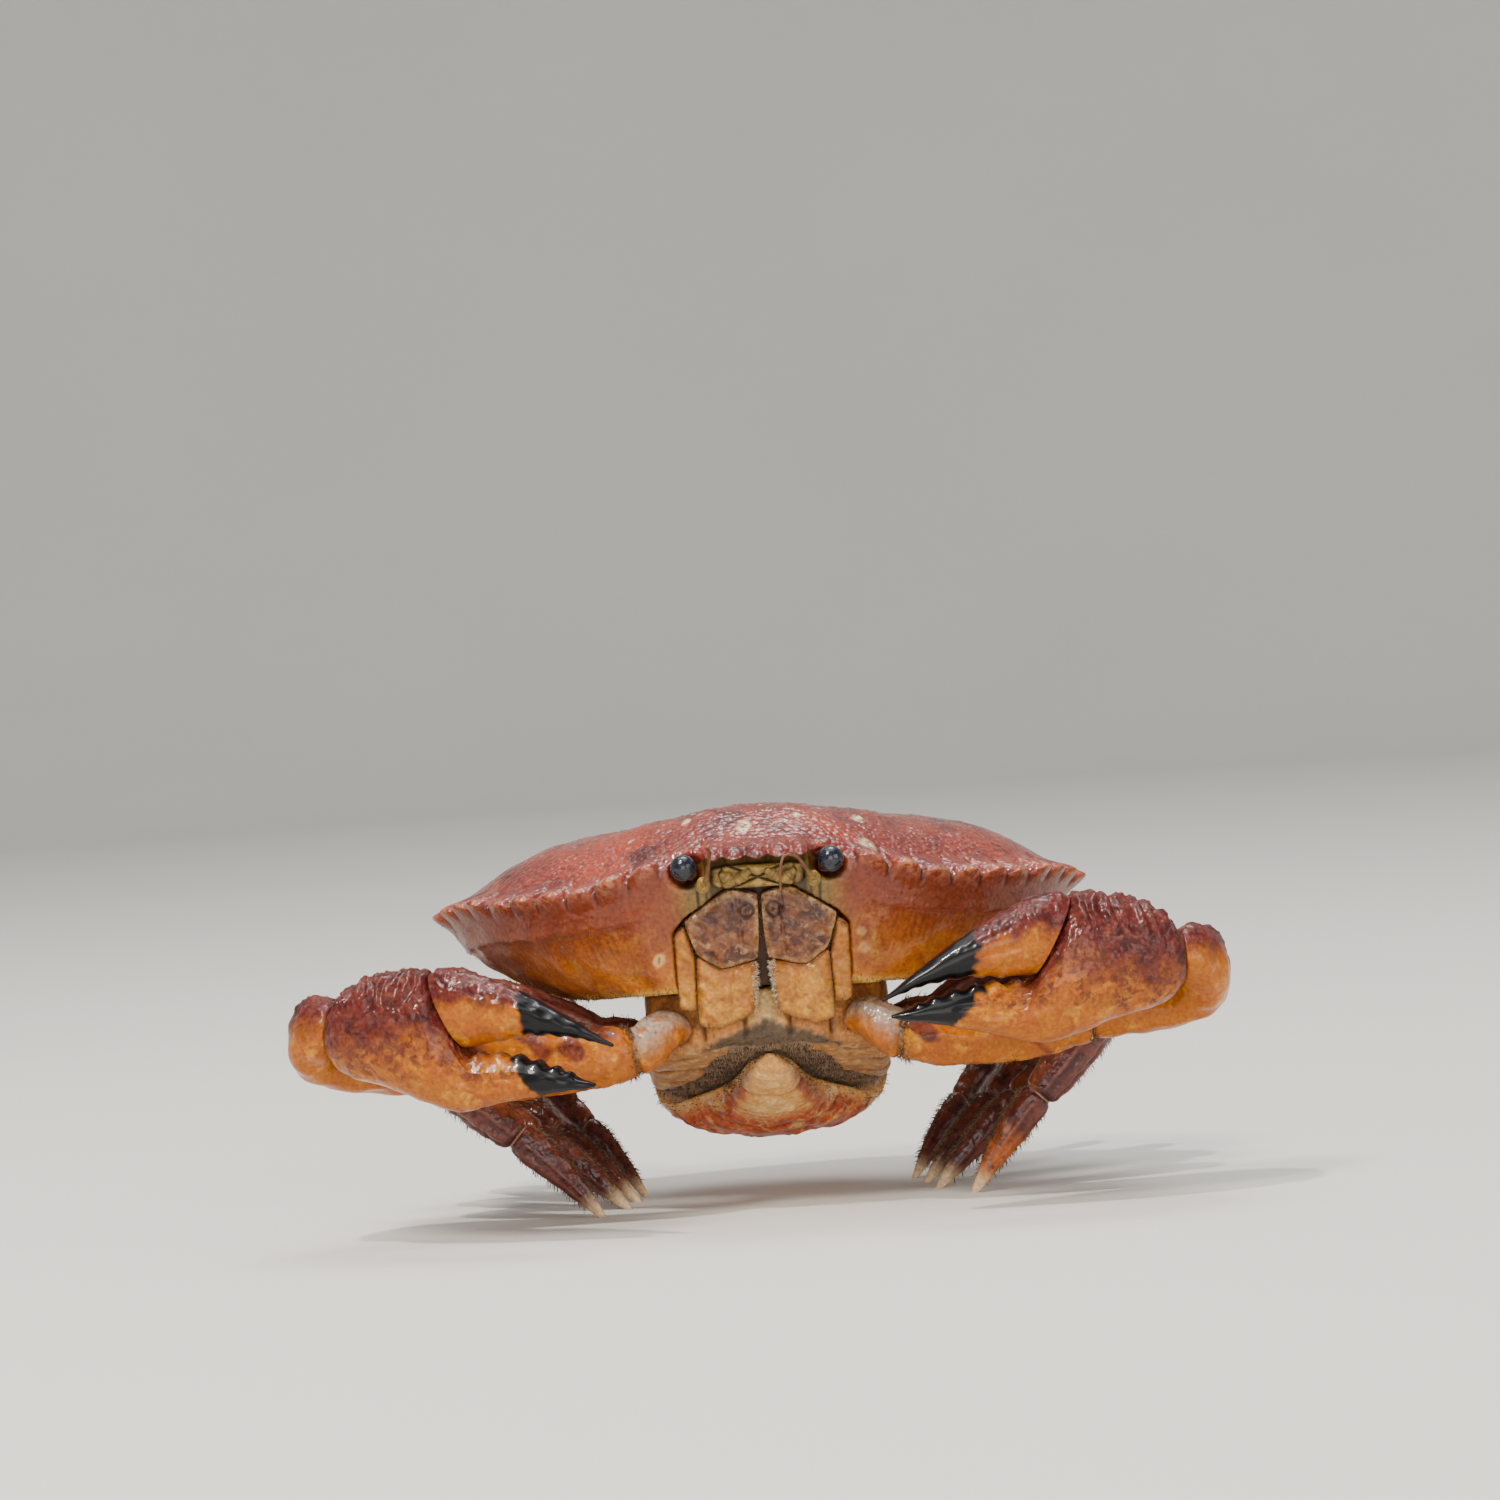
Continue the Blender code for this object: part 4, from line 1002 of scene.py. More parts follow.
    def underside(self, mouth: Mouth) -> Array:
        """The underside: rings from the margin to the lower edge, cut flat by the mouth and the rear face.

        Args:
            mouth: the plane of the face and mouthparts.

        Returns:
            Rings of points in the body frame.
        """
        share = self.band[self.dome_rings:]
        rim = self.margin(self.angle)
        edge = self.lower_edge()
        under = rim + (edge - rim) * share[..., None] ** self.under_bulge
        drop = 1.0 - (1.0 - share) ** self.under_bulge
        under[..., 2] = rim[:, 2] + (edge[:, 2] - rim[:, 2]) * drop
        for point, out in ((mouth.point, mouth.out), (self.rear_point, self.rear_out)):
            outside = np.maximum((under - point) @ out, 0.0)
            under = under - outside[..., None] * out
        return under

    def edged(self, points: Array, from_rim: Array) -> tuple[Array, Array]:
        """Pushes out the teeth of the edge, and the shelf with its own small teeth between the eyes.

        Args:
            points: rings of points in the body frame.
            from_rim: each point's distance from the margin.

        Returns:
            The moved points, and how near the brow each one is.
        """
        rim = self.margin(self.angle)
        teeth = self.scallops(self.angle)
        below = self.band > 0
        tangent = unit(np.roll(rim, -1, axis=0) - np.roll(rim, 1, axis=0))
        outward = unit(np.stack((-tangent[:, 1], tangent[:, 0], np.zeros(self.around)), axis=-1))
        outward *= np.sign(np.sum(outward * (rim - (0.0, self.dome_y, 0.0)), axis=-1))[:, None]
        near = bell(from_rim, np.where(below, 1.3, 2.7))
        reach = near * (self.tooth_reach * teeth - 0.35 * (teeth > 0))
        points = points + reach[..., None] * outward
        points[..., 2] += 0.8 * near * teeth
        lobes = bell(from_rim - 3.0, 2.6) * ~below * teeth
        points[..., 2] += 0.3 * lobes
        ahead = (points[..., 1] < self.dome_y) & (np.abs(points[..., 0]) < self.front_half_width + 1.0)
        brow = bell(from_rim, np.where(below, 0.9, 3.4)) * ahead
        reach = self.front_reach(points[..., 0])
        points[..., 1] -= brow * reach
        lip = bell(from_rim, np.where(below, 0.9, 1.1))
        points[..., 2] -= 0.75 * lip * ahead * np.maximum(reach - self.shelf_reach, 0.0)
        return points, brow

    def sheet(self, mouth: Mouth) -> Sheet:
        """The whole skin in the body frame: back, underside, toothed edge, eye hollows and the mouth's frame.

        Args:
            mouth: the plane of the face and mouthparts.

        Returns:
            The skin and the values for its finish.
        """
        points = np.concatenate((self.dome(), self.underside(mouth)))
        from_rim = np.linalg.norm(points - self.margin(self.angle), axis=-1)
        points, brow = self.edged(points, from_rim)
        hollow = np.zeros(points.shape[:2])
        for side in Side:
            points, pressed = self.hollowed(points, self.socket * side.flip)
            hollow = np.maximum(hollow, pressed)
        sunk = mouth.sunk(points)
        depth = np.linalg.norm(sunk - points, axis=-1) / mouth.depth
        hollow = np.maximum(hollow, ease(0.3, 0.9, depth))
        sunk[..., 2] += (self.band > 0) * self.furrows(sunk, self.band)
        away = (sunk - mouth.point) @ mouth.out
        return Sheet(sunk, self.painted(sunk, from_rim, brow, hollow, away))

    def painted(self, points: Array, from_rim: Array, brow: Array, hollow: Array,
                away: Array) -> dict[str, Array]:
        """How much of each stain, of the grains and of dryness there is at each point.

        Args:
            points: rings of points in the body frame.
            from_rim: each point's distance from the margin.
            brow: how near the brow each point is.
            hollow: how deep it lies in an eye's hollow or the mouth's frame.
            away: its height over the mouth's plane.

        Returns:
            The values by name.
        """
        x, y, z = np.moveaxis(points, -1, 0)
        wide = np.abs(x)
        band = self.band
        below = np.where(band > 0, 1.0, 0.0)
        teeth = self.scallops(self.angle)
        face = below * bell(np.maximum(wide - 11.0, 0.0), 3.0) * ease(-1.5, -0.2, away)
        slanted = np.stack((wide + 0.7 * y, 5.0 * band, 0.15 * z), axis=-1)
        return {
            "under": np.where(below > 0, ease(0.0, 1.6, from_rim), 0.0),
            "shade": below * ease(0.0, 1.0, from_rim) * (1.0 - 0.6 * face)
            * np.maximum(bell(np.maximum(band - 0.14, 0.0), 0.36),
                         0.85 * np.maximum(ease(34.0, 52.0, wide) * bell(band - 0.4, 0.5),
                                           ease(56.0, 66.0, y))),
            "hem": below * ease(0.86, 0.97, band) * ease(56.0, 46.0, y),
            "rim": bell(from_rim, 1.6) * (teeth > 0.05),
            # painted highlight on the tops of the edge's teeth
            "crest": bell(from_rim, 1.0) * teeth ** 2,
            # painted shade darkening the notches between the edge's teeth
            "notch": bell(from_rim, 2.0) * ease(0.6, 0.2, teeth) * (wide > 17.0) * (y < 46.0),
            "speck": (1.0 - below) * (bell(x, 26.0) * bell(y - 8.0, 14.0)
                                      + 0.35 * bell(wide - 34.0, 14.0) * bell(y - 18.0, 12.0)),
            "barnacle": (1.0 - below) * self.dots(x, y, self.barnacles),
            "brow": np.maximum(face * ease(0.8, 0.45, band), brow * (below > 0)),
            "streak": below * ease(-0.1, 1.3, ripple(slanted, 1.5, 27)) * ease(0.9, 0.3, band),
            "spot": below * np.maximum(self.dots(x, band, (self.scar,), self.under_depth),
                                       0.5 * self.dots(x, band, self.blisters, self.under_depth)),
            "crease": below * np.maximum(
                self.dots(x, band, ((*self.scar[:2], 0.4),), self.under_depth),
                face * ease(0.5, 0.3, band) * between(8.2, 8.8, 11.6, 12.6, wide)
                * ease(0.1, 0.9, np.cos((wide - 9.1) * math.tau / 1.6))),
            # painted shadow on the underside of the brow shelf between the eyes
            "eaves": below * ease(9.0, 8.2, wide) * ease(0.5, 0.3, band) * ease(-1.5, -0.2, away),
            # painted shade: how deep in an eye hollow or the mouth's frame each point lies
            "hollow": hollow,
            "grain": np.where(below > 0, 0.45, 1.25 - 0.6 * ease(10.0, 60.0, y)),
            "dry": np.maximum(below * (0.35 + 0.65 * ease(30.0, 48.0, wide)), hollow),
        }

    def dots(self, x: Array, other: Array, places: Table, scale: float = 1.0) -> Array:
        """Soft round marks on the skin.

        Args:
            x: distance to the crab's left.
            other: the second measure.
            places: x, the second measure and the radius of each mark.
            scale: how many millimetres one of the second measure is.

        Returns:
            How much of a mark is there.
        """
        marks = [bell(np.hypot(x - a, scale * (other - b)), r) for a, b, r in places]
        return ease(0.3, 0.7, np.max(marks, axis=0))

    def relief(self, points: Array) -> Array:
        """Rise of the back: round swellings over the organs, gentle waves and coarse grains near the front.

        Args:
            points: places in millimetres.

        Returns:
            The rise in millimetres.
        """
        height = 0.1 * ripple(points, 11.0, 3)
        for x, y, radius, rise in self.swellings:
            for sign in ((1.0, -1.0) if x else (1.0,)):
                distance = np.hypot(points[..., 0] - sign * x, points[..., 1] - y)
                height += rise * bell(distance, radius) - 0.2 * rise * bell(distance - 1.25 * radius, 2.0)
        front = 1.0 - 0.6 * ease(14.0, 50.0, points[..., 1])
        return height + 0.22 * front * granules(points, 1.9, 11)

    def furrows(self, points: Array, band: Array) -> Array:
        """Rise of the underside: a shallow line below the edge and low waves that run along it.

        Args:
            points: places in millimetres.
            band: share of the way from the margin to the lower edge.

        Returns:
            The rise in millimetres.
        """
        side = ease(16.0, 24.0, np.abs(points[..., 0]))
        line = -0.55 * bell(band - 0.24, 0.035) * side
        return line + 0.18 * ripple(points, 6.0, 21) * ease(0.08, 0.2, band)

    def hollowed(self, points: Array, centre: Array) -> tuple[Array, Array]:
        """Presses one eye's hollow: points in front of the socket's ball move back onto its far side.

        Args:
            points: body points.
            centre: the middle of the socket.

        Returns:
            The moved points, and how far in the hollow each one lies.
        """
        away = points - centre
        round_eye = np.hypot(away[..., 0], away[..., 2])
        ahead = (points[..., 1] < centre[1] + self.socket_radius + 1.5)
        inside = np.maximum(self.socket_radius ** 2 - round_eye ** 2, 0.0)
        back = centre[1] + np.sqrt(inside)
        pressed = ahead & (round_eye < self.socket_radius) & (points[..., 1] < back)
        points = points.copy()
        lip = bell(round_eye - self.socket_radius - 0.9, 0.9) * ahead
        points[..., 1] = np.where(pressed, back, points[..., 1] - 0.3 * lip)
        return points, np.where(pressed, ease(0.0, 1.2, self.socket_radius - round_eye), 0.0)

    def build(self, frame: BodyFrame, mouth: Mouth, bristles: Bristles) -> None:
        """Makes the shell and the fringe of hair along its lower edge.

        Args:
            frame: the body's place in the world.
            mouth: the plane of the face and mouthparts.
            bristles: takes the hair.
        """
        sheet = self.sheet(mouth)
        band = sheet.values["hem"]
        world = frame.placed(sheet)
        add_piece("carapace_shell", [world], CARAPACE_SHELL, ("carapace",))
        ahead = ease(60.0, 40.0, sheet.points[..., 1]) * ease(14.0, 18.0, np.abs(sheet.points[..., 0]))
        bristles.grow(world, band * ahead, 420, 0.6, (0.0, -0.3, -0.9))
        under = sheet.values["under"] * ahead * (1.0 - band)
        bristles.grow(world, under, 700, 0.5, (0.0, -0.3, -0.8), stand=0.4)


@dataclass
class Thorax:
    """The block under the shell: its sternum plates, and the furry valleys beside the tail."""

    front_y: float = 18.9
    side_z: float = -27.2
    bottom: float = -29.0
    inset: float = 2.5
    half_width: float = 22.0
    outline: Table = ((0.0, 18.9), (8.0, 19.0), (11.5, 20.3), (22.0, 27.0), (22.0, 59.0), (16.0, 63.6),
                      (0.0, 63.8))
    around: int = 360
    wall_rings: int = 14
    bevel_rings: int = 6
    inner_rings: int = 45
    furrow_y: Numbers = (26.5, 35.5, 44.5, 52.5)

    def rim(self) -> Array:
        """The outline as many points, from its corners on both sides.

        Returns:
            The outline's points.
        """
        half = [np.array(point) for point in self.outline]
        corners = np.array(half + [point * (-1.0, 1.0) for point in reversed(half) if point[0] > 0])
        return even_outline(corners, (0.18, 0.18), self.around)

    def sheet(self, carapace: Carapace, tail: Tail) -> Sheet:
        """The block's skin: straight walls, a bevel, and the underside drawn in to its middle.

        Args:
            carapace: the shell above it.
            tail: the tail that lies over it.

        Returns:
            The skin and the values for its finish.
        """
        rim = self.rim()
        middle = rim.mean(axis=0)
        top = carapace.lower_height(rim[:, 1]) - GAP * math.hypot(1.0, carapace.lower_slope)
        walls = np.linspace(0.0, 1.0, self.wall_rings)[:, None]
        bevel = np.linspace(0.0, 1.0, self.bevel_rings + 1)[1:, None]
        inner = np.linspace(1.0, 0.0, self.inner_rings + 1)[1:, None]
        scale = 1.0 - self.inset / self.half_width
        shares = np.concatenate((np.ones_like(walls), 1.0 - (1.0 - scale) * bevel ** 1.5, scale * inner))
        heights = np.concatenate((top + (self.side_z - top) * walls,
                                  self.side_z + (self.bottom - self.side_z) * np.sin(bevel * math.pi / 2)
                                  * np.ones(self.around),
                                  np.full((self.inner_rings, self.around), self.bottom)))
        flat = middle + shares[..., None] * (rim - middle)
        points = np.concatenate((flat, heights[..., None]), axis=-1)
        outside = np.maximum((points - carapace.rear_point) @ carapace.rear_out, 0.0)
        points = points - outside[..., None] * carapace.rear_out
        x = np.abs(points[..., 0])
        y = points[..., 1]
        low = ease(self.side_z + 0.4, self.bottom, points[..., 2])
        beside = x - np.interp(y, tail.row_y, tail.row_half)
        reach = 6.5 + 0.5 * ease(19.0, 30.0, y) + 4.0 * ease(44.0, 60.0, y)
        valley = low * (1.0 - ease(-0.5, 0.7, beside - reach + 0.4 * ripple(points, 3.0, 5)))
        front = ease(24.0, 20.0, y) * (1.0 - low)
        # The valley's upper arms on the front wall: fur and a groove, also darkened there with painted shade.
        fold = ease(0.5, -0.5, points[..., 2] + 24.9 + 0.33 * x + 0.3 * ripple(points, 2.0, 6))
        fold = fold * ease(27.0, 23.0, y) * (points[..., 2] > self.bottom + 0.01)
        valley = np.maximum(valley, fold)
        pale = front * bell(x, 2.4)
        furrows = self.furrows(x, y)
        gap = front * (bell(x - 4.0, 0.4) + bell(x - 11.4, 0.5))
        height = -0.35 * valley + 0.15 * ripple(points, 4.0, 8) - 0.7 * furrows
        height = height + 0.5 * front * bell(x - 8.2, 2.6) + 0.5 * pale - 0.7 * gap
        values = {"valley": valley, "fold": fold, "pale": pale, "bloom": low * ease(6.0, 9.0, beside),
                  "crease": np.maximum(gap, low * furrows)}
        return Sheet(points, values).raised(height)

    def furrows(self, x: Array, y: Array) -> Array:
        """The lines between the sternum's plates: bells along y that lean back towards the legs."""
        lines = sum(bell(y - place - 0.12 * x, 0.55) for place in self.furrow_y)
        return lines * ease(8.0, 12.0, x)

    def build(self, frame: BodyFrame, carapace: Carapace, tail: Tail, bristles: Bristles) -> None:
        """Makes the sternum and its fur.

        Args:
            frame: the body's place in the world.
            carapace: the shell above it.
            tail: the tail that lies over it.
            bristles: takes the hair.
        """
        sheet = self.sheet(carapace, tail)
        world = frame.placed(sheet)
        add_piece("sternum", [world], STERNUM_SKIN, ("thorax",))
        bristles.grow(world, sheet.values["valley"], 4200, 1.2, (0.0, -0.6, -0.1), tone=1.0, stand=0.8)


@dataclass
class Tail:
    """The abdomen folded under the body, seven plates from its tip to the rear face."""

    rows: Table = (
        # outer y, outer z, inner y, inner z, half width
        (25.3, -29.9, 25.6, -29.3, 0.8), (28.0, -31.0, 28.4, -29.3, 2.2), (32.0, -32.4, 32.0, -29.3, 3.8),
        (41.0, -33.8, 41.0, -29.3, 5.8), (46.0, -35.2, 46.0, -29.3, 7.2), (50.0, -36.2, 50.0, -29.3, 9.0),
        (57.0, -37.2, 56.5, -29.3, 13.5), (63.0, -36.4, 62.0, -29.3, 18.6), (68.5, -31.8, 66.8, -25.2, 21.8),
        (72.3, -24.0, 69.3, -18.0, 19.8), (74.6, -15.6, 72.1, -10.0, 17.0), (75.9, -7.4, 74.1, -4.2, 14.2),
    )
    seams: Numbers = (3.0, 4.5, 5.6, 6.7, 7.7, 8.8, 9.9)
    along: int = 230
    outer_count: int = 72
    inner_count: int = 24
    power: float = 2.3

    @property
    def row_y(self) -> Array:
        """Where the rows meet the sternum, along the body."""
        return np.array(self.rows)[:, 2]

    @property
    def row_half(self) -> Array:
        """The half width of each row."""
        return np.array(self.rows)[:, 4]

    def sheet(self) -> Sheet:
        """The tail's skin: each row is half a superellipse outside and flat inside, seams pressed in.

        Returns:
            The skin and the values for its finish.
        """
        table = np.array(self.rows)
        at = np.linspace(0.0, len(table) - 1.0, self.along)
        rows = smooth(np.arange(len(table)), table, at)
        half = np.linspace(0.0, math.pi, self.outer_count)
        cos = squared(np.cos(half), self.power)
        sin = squared(np.abs(np.sin(half)), self.power)
        cos = np.concatenate((cos, np.linspace(-1.0, 1.0, self.inner_count + 2)[1:-1]))
        sin = np.concatenate((sin, np.zeros(self.inner_count)))
        x = rows[:, 4:5] * cos
        y = rows[:, 2:3] + (rows[:, 0:1] - rows[:, 2:3]) * sin
        z = rows[:, 3:4] + (rows[:, 1:2] - rows[:, 3:4]) * sin
        points = np.stack((x, y, z), axis=-1)
        outer = ease(0.0, 0.5, sin)[None, :] * np.ones((len(at), 1))
        seam = np.zeros((len(at), 1))
        for place in self.seams:
            bow = at[:, None] - place - 0.22 * cos[None, :] ** 2
            seam = np.maximum(seam, bell(bow, 0.07))
        edge = bell(np.abs(cos)[None, :] - 1.0, 0.05) * np.ones((len(at), 1))
        ridge = bell(np.abs(cos)[None, :] - 0.42, 0.1) * ease(4.0, 6.0, at)[:, None]
        waves = 0.12 * ripple(points, 5.0, 14) + 0.1 * ripple(points, 2.2, 15)
        height = outer * (-0.4 * seam - 0.35 * ridge + waves)
        sides = ease(2.0, 3.0, at)[:, None] * ease(0.66, 0.9, np.abs(cos))
        blush = np.maximum(ease(4.2, 5.4, at)[:, None], sides)
        values = {"blush": blush * outer, "seam": seam * outer, "edge": edge,
                  "rear": ease(7.6, 9.4, at)[:, None] * outer,
                  "flank": bell(np.abs(cos) - 1.0, 0.14)[None, :] * ease(6.2, 4.4, at)[:, None] * outer}
        return Sheet(points, values).raised(height)

    def build(self, frame: BodyFrame, bristles: Bristles) -> None:
        """Makes the tail and the short fringe along its sides.

        Args:
            frame: the body's place in the world.
            bristles: takes the hair.
        """
        sheet = self.sheet()
        world = frame.placed(sheet)
        add_piece("tail_plates", [world], TAIL_SHELL, ("abdomen",))
        bristles.grow(world, sheet.values["edge"], 700, 0.9, (0.0, -0.3, 0.1), tone=0.6)


@dataclass
class Mouthparts:
    """The flat plates that close the mouth, three on each side."""

    thickness: float = 2.3
    spread: float = 0.16
    top_rings: int = 52
    # corners: across and down the slope
    merus: Table = ((0.3, 1.0), (5.4, -0.1), (13.4, 5.2), (11.4, 11.3), (7.6, 14.1), (0.9, 12.7))
    ischium: Table = ((1.0, 13.2), (7.5, 14.6), (11.6, 11.7), (11.9, 24.4), (8.4, 25.1), (2.2, 22.8))
    exopod: Table = ((12.0, 12.2), (13.5, 6.3), (15.3, 7.6), (15.2, 21.2), (12.2, 21.6))

    def outline(self, corners: Table, sign: float, count: int = 200) -> Array:
        """A plate's edge: its corners cut three times over, closely, then spaced evenly."""
        edge = even_outline(np.array(corners) * (sign, 1.0), (0.07, 0.25, 0.25), count)
        return edge + self.spread * unit(edge - edge.mean(axis=0))

    def plate(self, mouth: Mouth, corners: Table, sign: float, rise: float, groove: float,
              curl: float) -> Sheet:
        """One plate: a low dome inside its outline, a rounded shoulder, and straight sides.

        Args:
            mouth: the plane that carries it.
            corners: its outline, across and down the slope.
            sign: the side of the body.
            rise: how much higher it stands than the usual plate.
            groove: distance from its middle to the long groove, across the plate.
            curl: 1 where the small inner feeler curls over it, otherwise 0.

        Returns:
            The plate's skin in the body frame.
        """
        edge = self.outline(corners, sign)
        middle = edge.mean(axis=0)
        low = -mouth.depth + GAP
        high = low + self.thickness + rise
        top = np.linspace(0.0, 1.0, self.top_rings)[:, None]
        flat = middle + (top ** 0.8)[..., None] * (edge - middle)
        share = top ** 0.8 * np.ones(len(edge))
        height = high - 0.38 * (high - low) * share ** 5
        away = (flat[..., 0] - middle[0]) * sign
        height = height - 0.32 * bell(away - groove, 0.45) * ease(1.0, 0.75, share)
        from_curl = np.hypot(sign * flat[..., 0] - 2.3, flat[..., 1] - 3.6)
        ring = curl * (bell(from_curl - 1.25, 0.28) + bell(from_curl, 0.3))
        height = height - 0.3 * ring
        height = height + 0.22 * ripple(np.concatenate((flat, height[..., None]), axis=-1), 2.6, 31)
        drops = np.array((0.6, 0.8, 1.0))[:, None] * np.ones(len(edge))
        side = middle + (edge - middle) * np.ones((len(drops), 1, 1))
        sides = high - (high - low) * drops
        whole = np.concatenate((flat, side))
        points = mouth.place(whole[..., 0], whole[..., 1], np.concatenate((height, sides)))
        rim = np.concatenate((ease(0.78, 1.0, share), np.ones_like(sides)))
        dusk = ease(corners[-1][1], corners[0][1], flat[..., 1] + 1.5 * ripple(points[:len(flat)], 4.0, 33))
        inner = ease(2.6, 1.6, sign * flat[..., 0]) * ease(0.7, 1.0, share)
        values = {name: np.concatenate((value, np.zeros_like(sides)))
                  for name, value in (("crease", ring), ("inner", inner), ("dusk", dusk))}
        return Sheet(points, {"edge": rim, **values})

    def build(self, frame: BodyFrame, mouth: Mouth, bristles: Bristles) -> None:
        """Makes the six plates, the feet of the mouth between them, and their fringes.

        Args:
            frame: the body's place in the world.
            mouth: the plane of the face and mouthparts.
            bristles: takes the hair.
        """
        for side in Side:
            for part, corners, rise, groove, finish, slot in (
                ("merus", self.merus, 0.0, -2.2, MOUTH_MAUVE, "mauve_brown_shell"),
                ("ischium", self.ischium, 0.1, -1.4, MOUTH_ORANGE, "orange_shell"),
                ("exopod", self.exopod, -0.5, 9.0, MOUTH_ORANGE, "orange_shell"),
            ):
                sheet = self.plate(mouth, corners, side.value, rise, groove, float(part == "merus"))
                world = frame.placed(sheet)
                name = f"maxilliped_{side.label}_{part}"
                add_piece(f"{name}_plate", [world], finish, (name,))
                bristles.grow(world, sheet.values["edge"] ** 4, 260, 0.6, (0.0, -0.1, -0.5), tone=0.3,
                              stand=0.7)
                if part == "ischium":
                    bristles.grow(world, sheet.values["inner"], 170, 0.7, -0.5 * side.flip * (1, 0, 0),
                                  tone=-1.0, stand=0.6)


@dataclass
class Face:
    """The olive plate under the front, with the small feelers folded across it and the long ones beside."""

    half_width: float = 8.2
    top: float = -5.1
    bottom: float = -0.75
    thickness: float = 1.5
    # rings, then points to a ring
    plate_grid: tuple[int, int] = (46, 260)
    fold_grid: tuple[int, int] = (26, 24)
    feeler_grid: tuple[int, int] = (110, 20)
    fold_reach: float = 1.9
    fold_radius: float = 0.95
    # x, down and lean
    folds: Table = ((2.6, -3.1, 0.75), (5.3, -2.8, -0.75))
    # across, down and out of the mouth's plane, and radius
    base: Table = ((9.7, -1.2, GAP, 1.15), (9.7, -1.8, 1.1, 1.35), (9.6, -2.6, 1.8, 1.0),
                   (9.0, -3.4, 2.9, 0.55))
    # x, y, z and radius in the body frame
    left_droop: Table = ((7.0, -3.6, -1.6, 0.32), (4.8, -4.6, -1.6, 0.28), (3.9, -4.8, -4.5, 0.26),
                         (3.8, -4.6, -8.0, 0.25))
    right_droop: Table = ((8.2, -4.0, -1.4, 0.32), (8.0, -6.0, -0.4, 0.28), (8.6, -8.5, -0.2, 0.25))

    def plate(self, mouth: Mouth) -> Sheet:
        """The plate: a squarish superellipse, hollowed beside a middle rib where the feelers fold.

        Args:
            mouth: the plane of the face and mouthparts.

        Returns:
            The skin and the values for its finish.
        """
        rings, around = self.plate_grid
        cos, sin = round_shares(around, 5.0)
        share = np.linspace(0.0, 1.0, rings)[:, None]
        x = self.half_width * cos * share
        middle = (self.top + self.bottom) / 2
        down = middle + (self.bottom - self.top) / 2 * sin * share
        rib = bell(x, 0.8)
        wells = bell(np.abs(x) - 4.2, 2.6) * bell(down - middle + 0.2, 1.4)
        cross = bell(np.abs(down - middle) - 0.42 * np.abs(x), 0.24) * ease(5.4, 4.4, np.abs(x))
        pillar = bell(np.abs(x) - 6.3, 0.25)
        height = GAP + self.thickness * (1.0 - 0.7 * share ** 6) - 0.7 * wells + 0.25 * rib
        height = height - 0.4 * cross - 0.35 * pillar
        points = mouth.place(x, down, height)
        crease = np.clip(0.45 * wells + ease(0.88, 1.0, share) + cross + 0.8 * pillar, 0.0, 1.0)
        back = mouth.place(x[-1:], down[-1:], np.full((1, around), GAP))
        crease = np.concatenate((crease, np.ones((1, around))))
        return Sheet(np.concatenate((points, back)), {"crease": crease})

    def fold(self, mouth: Mouth, side: Side, x: float, down: float, lean: float) -> Sheet:
        """One folded feeler joint: a plump spindle laid slantwise in its well.

        Args:
            mouth: the plane of the face and mouthparts.
            side: the crab's side.
            x: its middle's distance from the midline.
            down: its middle's distance down the plane.
            lean: how steeply it lies.

        Returns:
            The skin and the values for its finish.
        """
        rings, around = self.fold_grid
        along = unit((side.value * 0.9, lean))
        at = np.linspace(-1.0, 1.0, rings)[:, None]
        spindle = np.sqrt(np.maximum(1.0 - np.abs(at) ** 2.6, 0.0)) * (1.0 + 0.12 * np.cos(6.0 * at))
        across = self.fold_radius * spindle * np.cos(turns(around))
        up = self.fold_radius * spindle * np.sin(turns(around))
        flat_x = side.value * x + self.fold_reach * at * along[0] - across * along[1]
        flat_down = down + self.fold_reach * at * along[1] + across * along[0]
        points = mouth.place(flat_x, flat_down, GAP + self.thickness - 0.45 + 0.9 * up)
        crease = (bell(np.abs(at) - 1.0, 0.15) + 0.6 * bell(at, 0.08)) * np.ones(around)
        return Sheet(points, {"crease": crease})

    def feeler(self, mouth: Mouth, side: Side) -> Sheet:
        """One long feeler: a jointed base that thins to a whip along a smooth bent line.

        Args:
            mouth: the plane of the face and mouthparts.
            side: the crab's side.

        Returns:
            The skin and the values for its finish.
        """
        rings, around = self.feeler_grid
        droop = self.left_droop if side is Side.LEFT else self.right_droop
        path = [(mouth.place(side.value * x, down, height), radius) for x, down, height, radius in self.base]
        path += [((side.value * x, y, z), radius) for x, y, z, radius in droop]
        table = np.array([(*np.ravel(point), radius) for point, radius in path])
        at = np.linspace(0.0, len(table) - 1.0, rings)
        rows = smooth(np.arange(len(table)), table, at)
        tangent = unit(np.gradient(rows[:, :3], axis=0))
        joints = 1.0 + 0.1 * np.cos(at * math.tau * 2.0)
        radius = np.maximum(rows[:, 3] * joints * 0.9, 0.12)[:, None]
        whip = ease(2.4, 3.6, at)[:, None] * np.ones(around)
        circle = hoop(tangent, (0.3, 0.2, 0.93), around)
        return Sheet(rows[:, None, :3] + radius[..., None] * circle, {"whip": whip})

